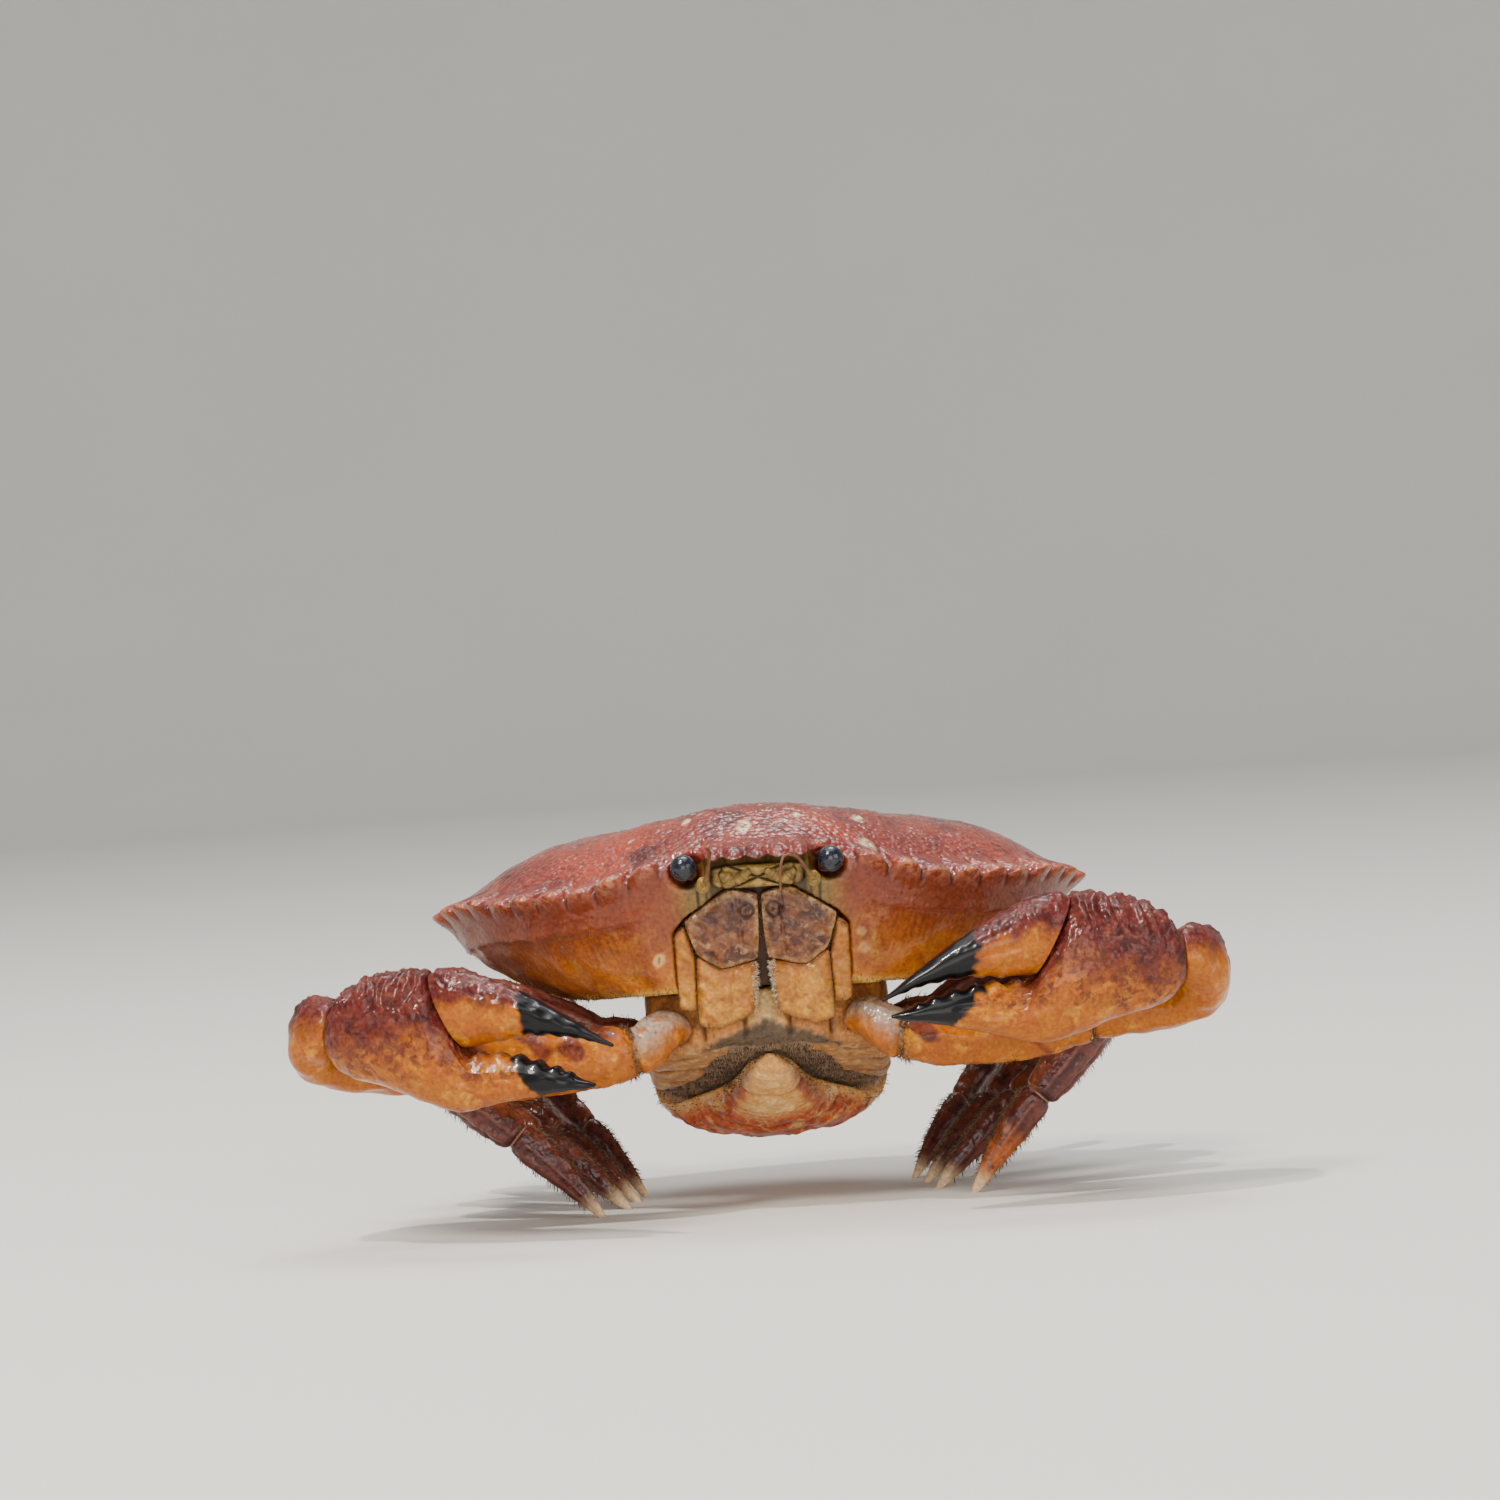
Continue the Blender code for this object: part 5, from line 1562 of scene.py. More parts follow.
    def build(self, frame: BodyFrame, mouth: Mouth) -> None:
        """Makes the face plate with its folded feelers, and the two long feelers.

        Args:
            frame: the body's place in the world.
            mouth: the plane of the face and mouthparts.
        """
        sheets = [self.plate(mouth)]
        for side in Side:
            sheets += [self.fold(mouth, side, x, down, lean) for x, down, lean in self.folds]
        world = [frame.placed(sheet) for sheet in sheets]
        add_piece("face_shell", world, FACE_SHELL, ("face_plate",))
        for side in Side:
            name = f"antenna_{side.label}"
            world = [frame.placed(self.feeler(mouth, side))]
            add_piece(f"{name}_whip", world, FACE_SHELL, (name,))


@dataclass
class Eyes:
    """Two stalked eyes, each turned about its own direction out of the socket."""

    radius: float = 2.3
    globe_centre: float = 3.6
    stalk_radius: float = 1.15
    stalk_flare: float = 0.21
    stalk_length: float = 1.9
    rings: int = 60
    around: int = 48
    direction: Point = (0.35, -0.93, 0.1)

    def sheet(self, carapace: Carapace, side: Side) -> Sheet:
        """One eye: a stalk that widens into a ball, both circles about the eye's own axis.

        Args:
            carapace: the shell above it.
            side: the crab's side.

        Returns:
            The skin and the values for its finish.
        """
        direction = unit(self.direction) * side.flip
        root = carapace.socket * side.flip - direction * (carapace.socket_radius - 2 * GAP)
        at = np.linspace(0.0, self.globe_centre + self.radius, self.rings)
        ball = np.sqrt(np.maximum(self.radius ** 2 - (at - self.globe_centre) ** 2, 0.0))
        stalk = self.stalk_radius + self.stalk_flare * at
        radius = np.where(at < self.stalk_length, stalk, ball)
        circle = hoop(direction, (0.0, 0.0, 1.0), self.around)
        points = root + at[:, None, None] * direction + radius[:, None, None] * circle
        cornea = ease(2.6, 3.2, at)[:, None] * np.ones(self.around)
        return Sheet(points, {"cornea": cornea, "glint": cornea})

    def build(self, frame: BodyFrame, carapace: Carapace) -> None:
        """Makes both eyes.

        Args:
            frame: the body's place in the world.
            carapace: the shell above it.
        """
        for side in Side:
            name = f"eye_{side.label}"
            world = frame.placed(self.sheet(carapace, side))
            add_piece(f"{name}_globe", [world], EYE_GLOSS, (name,))


@dataclass(frozen=True)
class Limb:
    """One segment along a bent centre line, with its half height and half width tabled by share."""

    start: Array
    leave: Array
    end: Array
    arrive: Array
    side: Array
    sections: Table
    scale: float = 1.0
    power: float = 2.3
    membrane_grid: tuple[int, int] = (14, 28)

    def line(self, shares: Array) -> tuple[Array, Array]:
        """Points and directions of a cubic curve whose handles suit a round bend.

        Args:
            shares: shares of the way along it.

        Returns:
            The points and the unit directions there.
        """
        leave = unit(self.leave)
        arrive = unit(self.arrive)
        bend = math.acos(max(-1.0, min(1.0, float(leave @ arrive))))
        chord = float(np.linalg.norm(self.end - self.start))
        handle = chord / 3.0
        if bend > 0.01:
            handle = 4.0 / 3.0 * math.tan(bend / 4.0) / (2.0 * math.sin(bend / 2.0)) * chord
        near = self.start + handle * leave
        far = self.end - handle * arrive
        t = shares[:, None]
        points = (self.start * (1 - t) ** 3 + 3 * near * t * (1 - t) ** 2
                  + 3 * far * t ** 2 * (1 - t) + self.end * t ** 3)
        slopes = (3 * (near - self.start) * (1 - t) ** 2 + 6 * (far - near) * t * (1 - t)
                  + 3 * (self.end - far) * t ** 2)
        return points, unit(slopes)

    def sheet(self, rings: int, around: int) -> Sheet:
        """The segment's skin: superellipses square to the centre line, rounded in at both ends.

        Args:
            rings: how many rings along it.
            around: how many points to a ring.

        Returns:
            The skin, with its share along, its height share and its side share at each point.
        """
        even = np.linspace(0.0, 1.0, rings)
        shares = np.unique(np.concatenate((even, (0.004, 0.012, 0.02, 0.98, 0.988, 0.996))))
        table = np.array(self.sections)
        sizes = smooth(table[:, 0], table[:, 1:], shares) * self.scale
        points, along = self.line(shares)
        length = float(np.linalg.norm(self.end - self.start))
        soft = 1.0 - 0.16 * (bell(shares * length, 0.35) + bell((1.0 - shares) * length, 0.35))
        across = unit(self.side - np.sum(self.side * along, axis=-1, keepdims=True) * along)
        up = np.cross(across, along)
        cos, sin = round_shares(around, self.power)
        high = (sizes[:, 0] * soft)[:, None] * cos
        wide = (sizes[:, 1] * soft)[:, None] * sin
        skin = points[:, None] + high[..., None] * up[:, None] + wide[..., None] * across[:, None]
        ones = np.ones((len(shares), around))
        return Sheet(skin, {"share": shares[:, None] * ones, "high": cos * ones, "wide": sin * ones})

    def membrane(self, reach: float, size: float) -> Sheet:
        """The soft skin in its root joint: a short ringed tube that runs back into the segment before.

        Args:
            reach: how far it runs each way, in millimetres.
            size: its share of the segment's first section.

        Returns:
            The membrane's skin.
        """
        leave = unit(self.leave)
        at = np.linspace(-reach, reach, self.membrane_grid[0])
        across = unit(self.side - np.dot(self.side, leave) * leave)
        up = np.cross(across, leave)
        cos, sin = round_shares(self.membrane_grid[1], self.power)
        half = np.array(self.sections[0][1:]) * self.scale * size
        folds = 1.0 + 0.05 * np.cos(at * 7.0)
        ring = up * (half[0] * cos)[:, None] + across * (half[1] * sin)[:, None]
        points = self.start + at[:, None, None] * leave + folds[:, None, None] * ring
        return Sheet(points, {"membrane": np.ones(points.shape[:2])})


@dataclass
class WalkingLegs:
    """Eight walking legs in a plain stance, each of four segments ending in a point on the floor."""

    # share along, half height and half width
    sections: dict[LegPart, Table] = field(default_factory=lambda: {
        LegPart.MERUS: ((0.0, 3.0, 3.0), (0.08, 3.4, 3.4), (0.16, 3.4, 3.0), (0.23, 2.9, 2.5),
                        (0.32, 3.7, 2.8), (0.55, 4.7, 3.2), (0.85, 4.5, 3.0), (1.0, 3.6, 2.5)),
        LegPart.CARPUS: ((0.0, 3.5, 2.5), (0.25, 4.1, 3.0), (0.6, 4.5, 3.2), (1.0, 3.6, 2.6)),
        LegPart.PROPODUS: ((0.0, 3.5, 2.5), (0.2, 3.9, 2.7), (0.6, 3.8, 2.6), (1.0, 3.0, 2.2)),
        LegPart.DACTYL: ((0.0, 2.9, 2.1), (0.15, 3.0, 2.1), (0.5, 2.3, 1.6), (0.8, 1.4, 1.0),
                         (0.94, 0.8, 0.7), (1.0, 0.6, 0.6)),
    })
    hairs: dict[LegPart, int] = field(default_factory=lambda: {
        LegPart.MERUS: 150, LegPart.CARPUS: 60, LegPart.PROPODUS: 220, LegPart.DACTYL: 300})
    root_y: Numbers = (31.0, 40.0, 48.5, 56.0)
    root_z: Numbers = (-23.8, -23.2, -22.2, -21.2)
    azimuth: Numbers = (5.0, 17.0, 30.0, 45.0)
    lifts: dict[Side, Numbers] = field(default_factory=lambda: {
        Side.LEFT: (20.0, 18.0, 18.0, 18.0), Side.RIGHT: (16.0, 15.0, 15.0, 16.0)})
    scale: Numbers = (1.0, 1.0, 1.0, 0.9)
    halvings: int = 40
    # degrees: the lower leg's slope lies between the first two, and turns by the others along it
    steepest: float = -165.0
    flattest: float = -95.0
    shin_bend: float = -5.0
    tip_bend: float = 8.0
    seeds: dict[Side, int] = field(default_factory=lambda: {Side.LEFT: 150, Side.RIGHT: 100})
    rings: dict[LegPart, int] = field(default_factory=lambda: {
        LegPart.MERUS: 70, LegPart.CARPUS: 46, LegPart.PROPODUS: 46, LegPart.DACTYL: 70})
    around: int = 56
    # one row to a leg, from the front: the lengths of its segments
    lengths: Table = ((33.0, 13.5, 20.0, 21.0), (36.0, 14.0, 22.0, 22.0), (35.0, 13.5, 22.0, 21.0),
                      (30.0, 12.0, 20.0, 19.0))

    def heading(self, azimuth: float, slope: float, side: Side) -> Array:
        """A world direction by its turn back from straight sideways and its slope above level.

        Args:
            azimuth: degrees back from straight sideways.
            slope: degrees above level.
            side: the crab's side.

        Returns:
            The direction.
        """
        turn = math.radians(azimuth)
        rise = math.radians(slope)
        return np.array((side.value * math.cos(turn) * math.cos(rise), math.sin(turn) * math.cos(rise),
                         math.sin(rise)))

    def joints(self, root: Array, index: int, side: Side, fold: float) -> list[tuple[Array, ...]]:
        """The start, first direction, end and last direction of each segment, for one slope of the lower leg.

        Args:
            root: where the leg starts.
            index: the leg's number from the front, from 0.
            side: the crab's side.
            fold: the lower leg's slope in degrees.

        Returns:
            One row to a segment.
        """
        merus, carpus, propodus, dactyl = self.lengths[index]
        azimuth = self.azimuth[index]
        lift = self.lifts[side][index]
        shin = fold + self.shin_bend
        slopes = ((lift, lift, merus), (lift, fold, carpus), (fold, shin, propodus),
                  (shin, fold + self.tip_bend, dactyl))
        place = root
        found = []
        for first, last, length in slopes:
            end = place + length * self.heading(azimuth, (first + last) / 2, side)
            found.append((place, self.heading(azimuth, first, side), end, self.heading(azimuth, last, side)))
            place = end + GAP * self.heading(azimuth, last, side)
        return found

    def limbs(self, frame: BodyFrame, index: int, side: Side) -> list[Limb]:
        """One leg's segments, its lower leg swung by halving until the tip is on the floor.

        Args:
            frame: the body's place in the world.
            index: the leg's number from the front, from 0.
            side: the crab's side.

        Returns:
            The leg's segments from the body outwards.
        """
        start = (side.value * (Thorax.half_width + GAP), self.root_y[index], self.root_z[index])
        root = frame.world(start)
        low = self.flattest
        high = self.steepest
        for _ in range(self.halvings):
            middle = (low + high) / 2
            if self.joints(root, index, side, middle)[-1][2][2] < 0.0:
                low = middle
            else:
                high = middle
        across = np.cross(self.heading(self.azimuth[index], 0.0, side), (0.0, 0.0, 1.0))
        limbs = []
        for part, (begin, leave, end, arrive) in zip(LegPart, self.joints(root, index, side, low)):
            if part is LegPart.MERUS:
                leave = np.array((side.value, 0.0, 0.0))
            limbs.append(Limb(begin, leave, end, arrive, across, self.sections[part], self.scale[index]))
        return limbs

    def dressed(self, limb: Limb, part: LegPart, seed: int) -> Sheet:
        """A segment's skin with long ridges, grains between them, and its tip cut level on the floor.

        Args:
            limb: the segment.
            part: which segment it is.
            seed: picks the ripples and grains.

        Returns:
            The skin and the values for its finish.
        """
        sheet = limb.sheet(self.rings[part], self.around)
        share = sheet.values["share"]
        high = sheet.values["high"]
        wide = sheet.values["wide"]
        middle = between(0.0, 0.12, 0.9, 1.0, share)
        crests = bell(high - 1.0, 0.1) + 0.8 * bell(np.abs(wide) - 0.8, 0.12) * (high > 0)
        crests = crests + 0.5 * bell(high + 1.0, 0.12)
        if part in (LegPart.PROPODUS, LegPart.DACTYL):
            crests = crests + 0.7 * bell(high, 0.1)
        thin = 1.0 - 0.75 * share if part is LegPart.DACTYL else np.ones_like(share)
        waves = 0.14 * ripple(sheet.points, 3.4, seed)
        grains = 0.16 * granules(sheet.points, 1.5, seed) * (high > -0.3)
        result = sheet.raised(middle * thin * (0.45 * crests - 0.15 + waves + grains))
        if part is LegPart.DACTYL:
            tip = result.points[-1]
            arrive = unit(limb.arrive)
            tip = tip - np.outer(tip[:, 2] / arrive[2], arrive)
            result.points[-1] = tip * (1.0, 1.0, 0.0)
            result.points[..., 2] = np.maximum(result.points[..., 2], 0.0)
            result.values["tip"] = ease(0.72, 0.97, share)
        result.values["ridge"] = middle * np.clip(crests, 0.0, 1.0)
        result.values["belly"] = ease(-0.1, -0.8, high) * (0.35 if part is LegPart.DACTYL else 1.0)
        return result

    def build(self, frame: BodyFrame, bristles: Bristles) -> None:
        """Makes all the legs and the hair along their edges.

        Args:
            frame: the body's place in the world.
            bristles: takes the hair.
        """
        for side in Side:
            for index in range(4):
                for part, limb in zip(LegPart, self.limbs(frame, index, side)):
                    sheet = self.dressed(limb, part, self.seeds[side] + 10 * index + part.value)
                    if part is LegPart.DACTYL and side is Side.LEFT and index == 0:
                        sheet.values["amber"] = ease(0.25, 0.6, sheet.values["share"])
                    pieces = [sheet]
                    if part is not LegPart.MERUS:
                        pieces.append(limb.membrane(1.3, 0.82))
                    name = f"leg_{side.label}_{index + 1}_{part.name.lower()}"
                    add_piece(f"{name}_shell", pieces, LEG_SHELL, (name,))
                    along = unit(limb.end - limb.start)
                    high = sheet.values["high"]
                    share = sheet.values["share"]
                    edge = bell(high + 1.0, 0.1) + 0.5 * bell(high - 1.0, 0.06)
                    edge = edge * between(0.02, 0.1, 0.7, 0.9, share)
                    bristles.grow(sheet, edge, self.hairs[part], 1.3, 0.8 * along, tone=0.2)


@dataclass(frozen=True)
class ClawPose:
    """How one claw is held: its wrist, turns, opening and size, and where the elbow is from the wrist."""

    wrist: Point
    yaw: float
    dip: float
    opening: float
    size: float
    forearm: Point


@dataclass
class Claws:
    """Both claws: arm segments, the knuckle round to the wrist, the palm and its moving finger."""

    poses: dict[Side, ClawPose] = field(default_factory=lambda: {
        Side.LEFT: ClawPose((72.0, -37.0, 42.1), 10.0, 0.0, 3.5, 0.93, (15.5, -12.5, 9.0)),
        Side.RIGHT: ClawPose((-75.2, -35.5, 38.6), 19.0, 5.6, 11.0, 0.88, (-15.5, -11.0, 7.1))})
    palm_rows: Table = (
        # upper edge, lower edge and half thickness
        (0.0, 4.5, 0.0, -5.5, 5.0), (2.5, 8.0, 2.5, -8.0, 6.3), (6.5, 10.6, 7.0, -9.6, 7.2),
        (12.0, 12.2, 13.0, -10.6, 7.6), (17.0, 13.0, 20.0, -12.8, 7.4), (19.8, 12.4, 26.0, -14.2, 6.8),
        (22.1, 8.4, 29.0, -14.0, 6.2), (25.0, 3.3, 32.0, -13.2, 5.4), (28.0, -2.0, 34.0, -12.5, 4.8),
        (31.0, -3.2, 37.0, -11.7, 4.4), (38.0, -2.8, 41.0, -10.7, 3.9), (46.0, -4.3, 47.0, -9.2, 3.0),
        (52.0, -6.0, 52.0, -8.2, 1.9), (55.3, -6.8, 55.3, -7.5, 0.6),
    )
    finger_rows: Table = (
        (20.3, 12.6, 28.1, -1.6, 5.2), (24.0, 13.0, 31.0, -1.9, 5.3), (29.0, 11.2, 35.0, -2.0, 4.9),
        (35.0, 8.0, 40.0, -2.0, 4.1), (42.0, 4.2, 45.0, -2.8, 3.2), (48.0, 0.2, 49.5, -3.9, 2.3),
        (53.0, -3.8, 53.0, -5.3, 1.3), (56.0, -6.0, 55.7, -6.5, 0.5),
    )
    # rings, then points to a ring
    palm_grid: tuple[int, int] = (190, 112)
    finger_grid: tuple[int, int] = (130, 96)
    knuckle_grid: tuple[int, int] = (74, 72)
    arm_grid: tuple[int, int] = (60, 64)
    seeds: dict[Side, int] = field(default_factory=lambda: {Side.LEFT: 40, Side.RIGHT: 80})
    arm_seeds: dict[Side, int] = field(default_factory=lambda: {Side.LEFT: 140, Side.RIGHT: 160})
    hinge: tuple[float, float] = (21.0, 12.5)
    palm_teeth: Numbers = (31.5, 35.5, 39.5, 43.5, 47.2, 50.2)
    finger_teeth: Numbers = (33.5, 37.5, 41.5, 45.2, 48.6, 51.4)
    palm_black: float = 41.0
    finger_black: float = 38.5
    knuckle_swell: float = 2.6
    knuckle_reach_swell: float = 0.8
    knuckle_elbow: tuple[float, float] = (5.0, 6.0)
    knuckle_wrist: float = 4.8
    facet: tuple[float, float] = (16.75, 23.65)
    facet_run: tuple[float, float] = (10.5, 6.7)
    coxa_height: float = -24.2
    coxa_end: Point = (23.5, -25.4, 30.5)
    coxa_droop: Point = (1.0, -0.05, -0.15)
    arm_reach: Point = (1.0, 0.05, 0.15)
    coxa_sections: Table = ((0.0, 2.8, 4.4), (0.4, 3.6, 4.3), (1.0, 4.3, 4.0))
    arm_sections: Table = ((0.0, 4.3, 4.0), (0.12, 5.0, 4.4), (0.3, 5.4, 4.6), (0.7, 6.6, 5.2),
                           (1.0, 6.2, 5.0))

    def axes(self, side: Side) -> Array:
        """Rows are the claw's own directions: along to its tip, up, and through its thickness.

        Args:
            side: the crab's side.

        Returns:
            Three directions, one to a row.
        """
        pose = self.poses[side]
        turn = math.radians(pose.yaw)
        drop = math.radians(pose.dip)
        along = np.array((-side.value * math.cos(turn), -math.sin(turn), 0.0))
        up = np.array((0.0, 0.0, 1.0))
        tilted = along * math.cos(drop) - up * math.sin(drop)
        raised = along * math.sin(drop) + up * math.cos(drop)
        return np.array((tilted, raised, np.cross(tilted, raised)))

    def slab(self, rows: Table, refine: int, count: int, power: float) -> tuple[Array, Array]:
        """Rings across a claw profile.

        Each ring is a superellipse between the upper and lower edge, as thick as its row says.

        Args:
            rows: the profile's rows.
            refine: how many rings.
            count: how many points to a ring.
            power: the superellipse's power.

        Returns:
            The points along, up and through the claw, then each one's height share.
        """
        table = np.array(rows)
        read = smooth(np.arange(len(table)), table, np.linspace(0.0, len(table) - 1.0, refine))
        cos, sin = round_shares(count, power)
        middle = (read[:, 0:2] + read[:, 2:4]) / 2
        reach = (read[:, 0:2] - read[:, 2:4]) / 2
        flat = middle[:, None] + cos[None, :, None] * reach[:, None]
        points = np.concatenate((flat, (read[:, 4:5] * sin)[..., None]), axis=-1)
        return points, cos * np.ones((refine, count))

    def opened(self, points: Array, degrees: float) -> Array:
        """Swings the finger about its hinge, easing in over its first fifth so that its base stays put.

        Args:
            points: rings of points in the claw's own directions.
            degrees: how far the finger is opened.

        Returns:
            The points after the swing.
        """
        share = np.minimum(1.0, 5.0 * np.linspace(0.0, 1.0, len(points)))[:, None]
        turn = math.radians(degrees) * share
        away = points[..., :2] - self.hinge
        x = away[..., 0] * np.cos(turn) - away[..., 1] * np.sin(turn) + self.hinge[0]
        y = away[..., 0] * np.sin(turn) + away[..., 1] * np.cos(turn) + self.hinge[1]
        return np.stack((x, y, points[..., 2]), axis=-1)

    def bite(self, along: Array, teeth: Numbers) -> Array:
        """Height of the cutting teeth at a distance along the claw: round knobs that shrink to the tip.

        Args:
            along: distance along the claw.
            teeth: where the teeth stand.

        Returns:
            The height.
        """
        height = np.zeros_like(along)
        for number, place in enumerate(teeth):
            height = np.maximum(height, (1.15 - 0.12 * number) * bell(along - place, 1.35 - 0.1 * number))
        return height

    def palm(self, seed: int) -> Sheet:
        """The palm and its fixed finger in the claw's own directions, wrinkled above and toothed within.

        Args:
            seed: picks the ripples and grains.

        Returns:
            The skin and the values for its finish.
        """
        points, high = self.slab(self.palm_rows, *self.palm_grid, 2.3)
        along = points[..., 0]
        tone = high + 0.2 * ripple(points, 6.0, seed) + 0.03 * (18.0 - along)
        upper = ease(-0.55, 0.4, tone) * ease(36.0, 26.0, along)
        cutting = bell(high - 1.0, 0.16) * ease(28.0, 30.5, along)
        tooth = cutting * self.bite(along, self.palm_teeth)
        folds = np.sin(along * math.tau / 2.7 + 1.6 * ripple(points, 7.0, seed + 1))
        wrinkle = 0.42 * folds * ease(0.25, 0.8, high) * ease(26.0, 18.0, along)
        rough = 0.42 * granules(points, 1.9, seed + 2) * upper
        keels = 0.22 * sum(bell(high - at, 0.09) for at in (0.35, -0.1, -0.5))
        keels = keels * between(6.0, 10.0, 36.0, 46.0, along)
        groove = -0.25 * bell(high - 0.05, 0.16) * between(28.0, 33.0, 38.0, 46.0, along)
        quiet = between(0.0, 3.0, 53.5, 56.0, along)
        height = quiet * (wrinkle + rough + keels + groove + 0.1 * ripple(points, 4.0, seed + 3)) + tooth
        black = ease(-0.6, 0.6, along - self.palm_black + 3.0 * high + 0.6 * ripple(points, 3.0, seed + 4))
        # the cutting teeth carry painted glints, pale grey
        values = {"upper": upper, "black": black, "tooth": ease(0.5, 1.0, tooth), "knob": rough * 2.4,
                  "fade": bell(tone + 0.2, 0.45) * (1.0 - black),
                  "grain": (0.35 + 0.8 * upper) * (1.0 - black)}
        return Sheet(points, values).raised(height)

    def finger(self, opening: float, seed: int) -> Sheet:
        """The moving finger in the claw's own directions, ridged above, toothed below, with a black end.

        Args:
            opening: how far it is opened, in degrees.
            seed: picks the ripples and grains.

        Returns:
            The skin and the values for its finish.
        """
        points, high = self.slab(self.finger_rows, *self.finger_grid, 2.1)
        along = points[..., 0]
        tooth = 0.4 * bell(high + 1.0, 0.16) * self.bite(along, self.finger_teeth) * ease(30.0, 33.0, along)
        upper = ease(-0.2, 0.5, high + 0.15 * ripple(points, 5.0, seed))
        rough = 0.4 * granules(points, 1.8, seed + 2) * ease(0.0, 0.7, high) * ease(46.0, 34.0, along)
        crest = 0.4 * bell(high - 1.0, 0.12) * ease(46.0, 36.0, along)
        groove = -0.2 * sum(bell(high - at, 0.13) for at in (0.45, -0.25))
        groove = groove * between(26.0, 32.0, 37.0, 44.0, along)
        quiet = ease(0.0, 0.08, np.linspace(0.0, 1.0, len(along)))[:, None] * ease(56.5, 53.5, along)
        height = quiet * (rough + crest + groove + 0.08 * ripple(points, 3.5, seed + 3)) + tooth
        black = ease(-0.6, 0.6, along - self.finger_black + 0.4 * high + 0.5 * ripple(points, 3.0, seed + 4))
        # the finger's teeth carry painted glints, pale grey
        values = {"upper": upper, "black": black, "tooth": ease(0.2, 0.4, tooth), "knob": rough * 2.4,
                  "grain": (0.35 + 0.6 * upper) * (1.0 - black)}
        raised = Sheet(points).raised(height).points
        return Sheet(self.opened(raised, opening), values)

    def knuckle(self, elbow: Array, reach: Array, wrist: Array, outward: Array, size: float) -> Sheet:
        """The carpus swept round a half turn: each ring reaches out from an inner corner between its faces.

        Args:
            elbow: middle of its inner face.
            reach: the inner face's outward direction.
            wrist: middle of its outer face.
            outward: the outer face's outward direction.
            size: the claw's size.

        Returns:
            The skin and the values for its finish.
        """
        elbow_reach, elbow_height = self.knuckle_elbow
        wrist_reach = self.knuckle_wrist * size
        across = unit(wrist - elbow - np.dot(wrist - elbow, reach) * reach)
        first = elbow + elbow_reach * across
        travel = wrist - wrist_reach * unit(across - np.dot(across, outward) * outward) - first
        straight = np.dot(travel, reach) * reach
        share = np.linspace(0.0, 1.0, self.knuckle_grid[0])[:, None]
        swell = np.sin(share * math.pi)
        face = unit(reach * (1 - share) + outward * share)
        back = -unit(across - np.sum(across * face, axis=-1, keepdims=True) * face)
        radial = back * np.cos(share * math.pi) + face * swell
        half_reach = elbow_reach * (1 - share) + wrist_reach * share + self.knuckle_reach_swell * swell
        half_height = elbow_height * (1 - share) + wrist_reach * share + self.knuckle_swell * swell
        corner = first + straight * (1 - (1 - share) ** 3) + (travel - straight) * share ** 2.5
        centre = corner + radial * half_reach
        cos, sin = round_shares(self.knuckle_grid[1], 2.4)
        sideways = np.cross(face, back)
        soft = 1.0 - 0.07 * (bell(share, 0.015) + bell(1.0 - share, 0.015))
        points = (centre[:, None] + (cos * half_reach * soft)[..., None] * radial[:, None]
                  + (sin * half_height * soft)[..., None] * sideways[:, None])
        up = points[..., 2] - centre[:, None, 2]
        upper = ease(-1.5, 4.0, up + 0.8 * ripple(points, 7.0, 61))
        rough = 0.4 * granules(points, 2.0, 62) * upper
        quiet = between(0.0, 0.08, 0.92, 1.0, share)
        sheet = Sheet(points, {"upper": upper, "knob": rough * 2.4, "grain": 0.35 + 0.8 * upper})
        return sheet.raised(quiet * (rough + 0.2 * ripple(points, 5.0, 63)))

    def arm(self, limb: Limb, seed: int, bloom: float, red: float) -> Sheet:
        """An arm segment's skin: lightly grained, with a painted grey sheen on a coxa's upper side or a red
        blotch on a merus.

        Args:
            limb: the segment.
            seed: picks the ripples and grains.
            bloom: how much painted grey sheen its upper side gets.
            red: how much of the red blotch it has.

        Returns:
            The skin and the values for its finish.
        """
        sheet = limb.sheet(*self.arm_grid)
        high = sheet.values["high"]
        quiet = between(0.0, 0.1, 0.92, 1.0, sheet.values["share"])
        keel = 0.35 * bell(high - 1.0, 0.12) + 0.2 * bell(high, 0.2)
        grains = 0.15 * granules(sheet.points, 1.7, seed)
        height = quiet * (0.18 * ripple(sheet.points, 4.5, seed) + keel + grains)
        values = {
            # painted sheen: pale grey on the upper side of the coxa
            "bloom": bloom * ease(-0.7, 0.6, high),
            "upper": red * ease(0.5, 1.3, ripple(sheet.points, 8.0, seed + 5) + 0.8 * high),
            "grain": np.full(high.shape, 0.5),
        }
        return Sheet(sheet.points, values).raised(height)

    def build(self, frame: BodyFrame, bristles: Bristles) -> None:
        """Makes both claws.

        Args:
            frame: the body's place in the world.
            bristles: takes the hair.
        """
        for side in Side:
            pose = self.poses[side]
            axes = self.axes(side)
            wrist = frame.stand(pose.wrist)
            for part, sheet, slot in (
                ("palm", self.palm(self.seeds[side]), "wet_red_shell"),
                ("finger", self.finger(pose.opening, self.seeds[side]), "black_tip_shell"),
            ):
                name = f"claw_{side.label}_{part}"
                world = Sheet(wrist + pose.size * sheet.points @ axes, sheet.values)
                add_piece(f"{name}_shell", [world], CLAW_SHELL, (name,))
            self.build_arm(frame, side, wrist, axes[0], bristles)

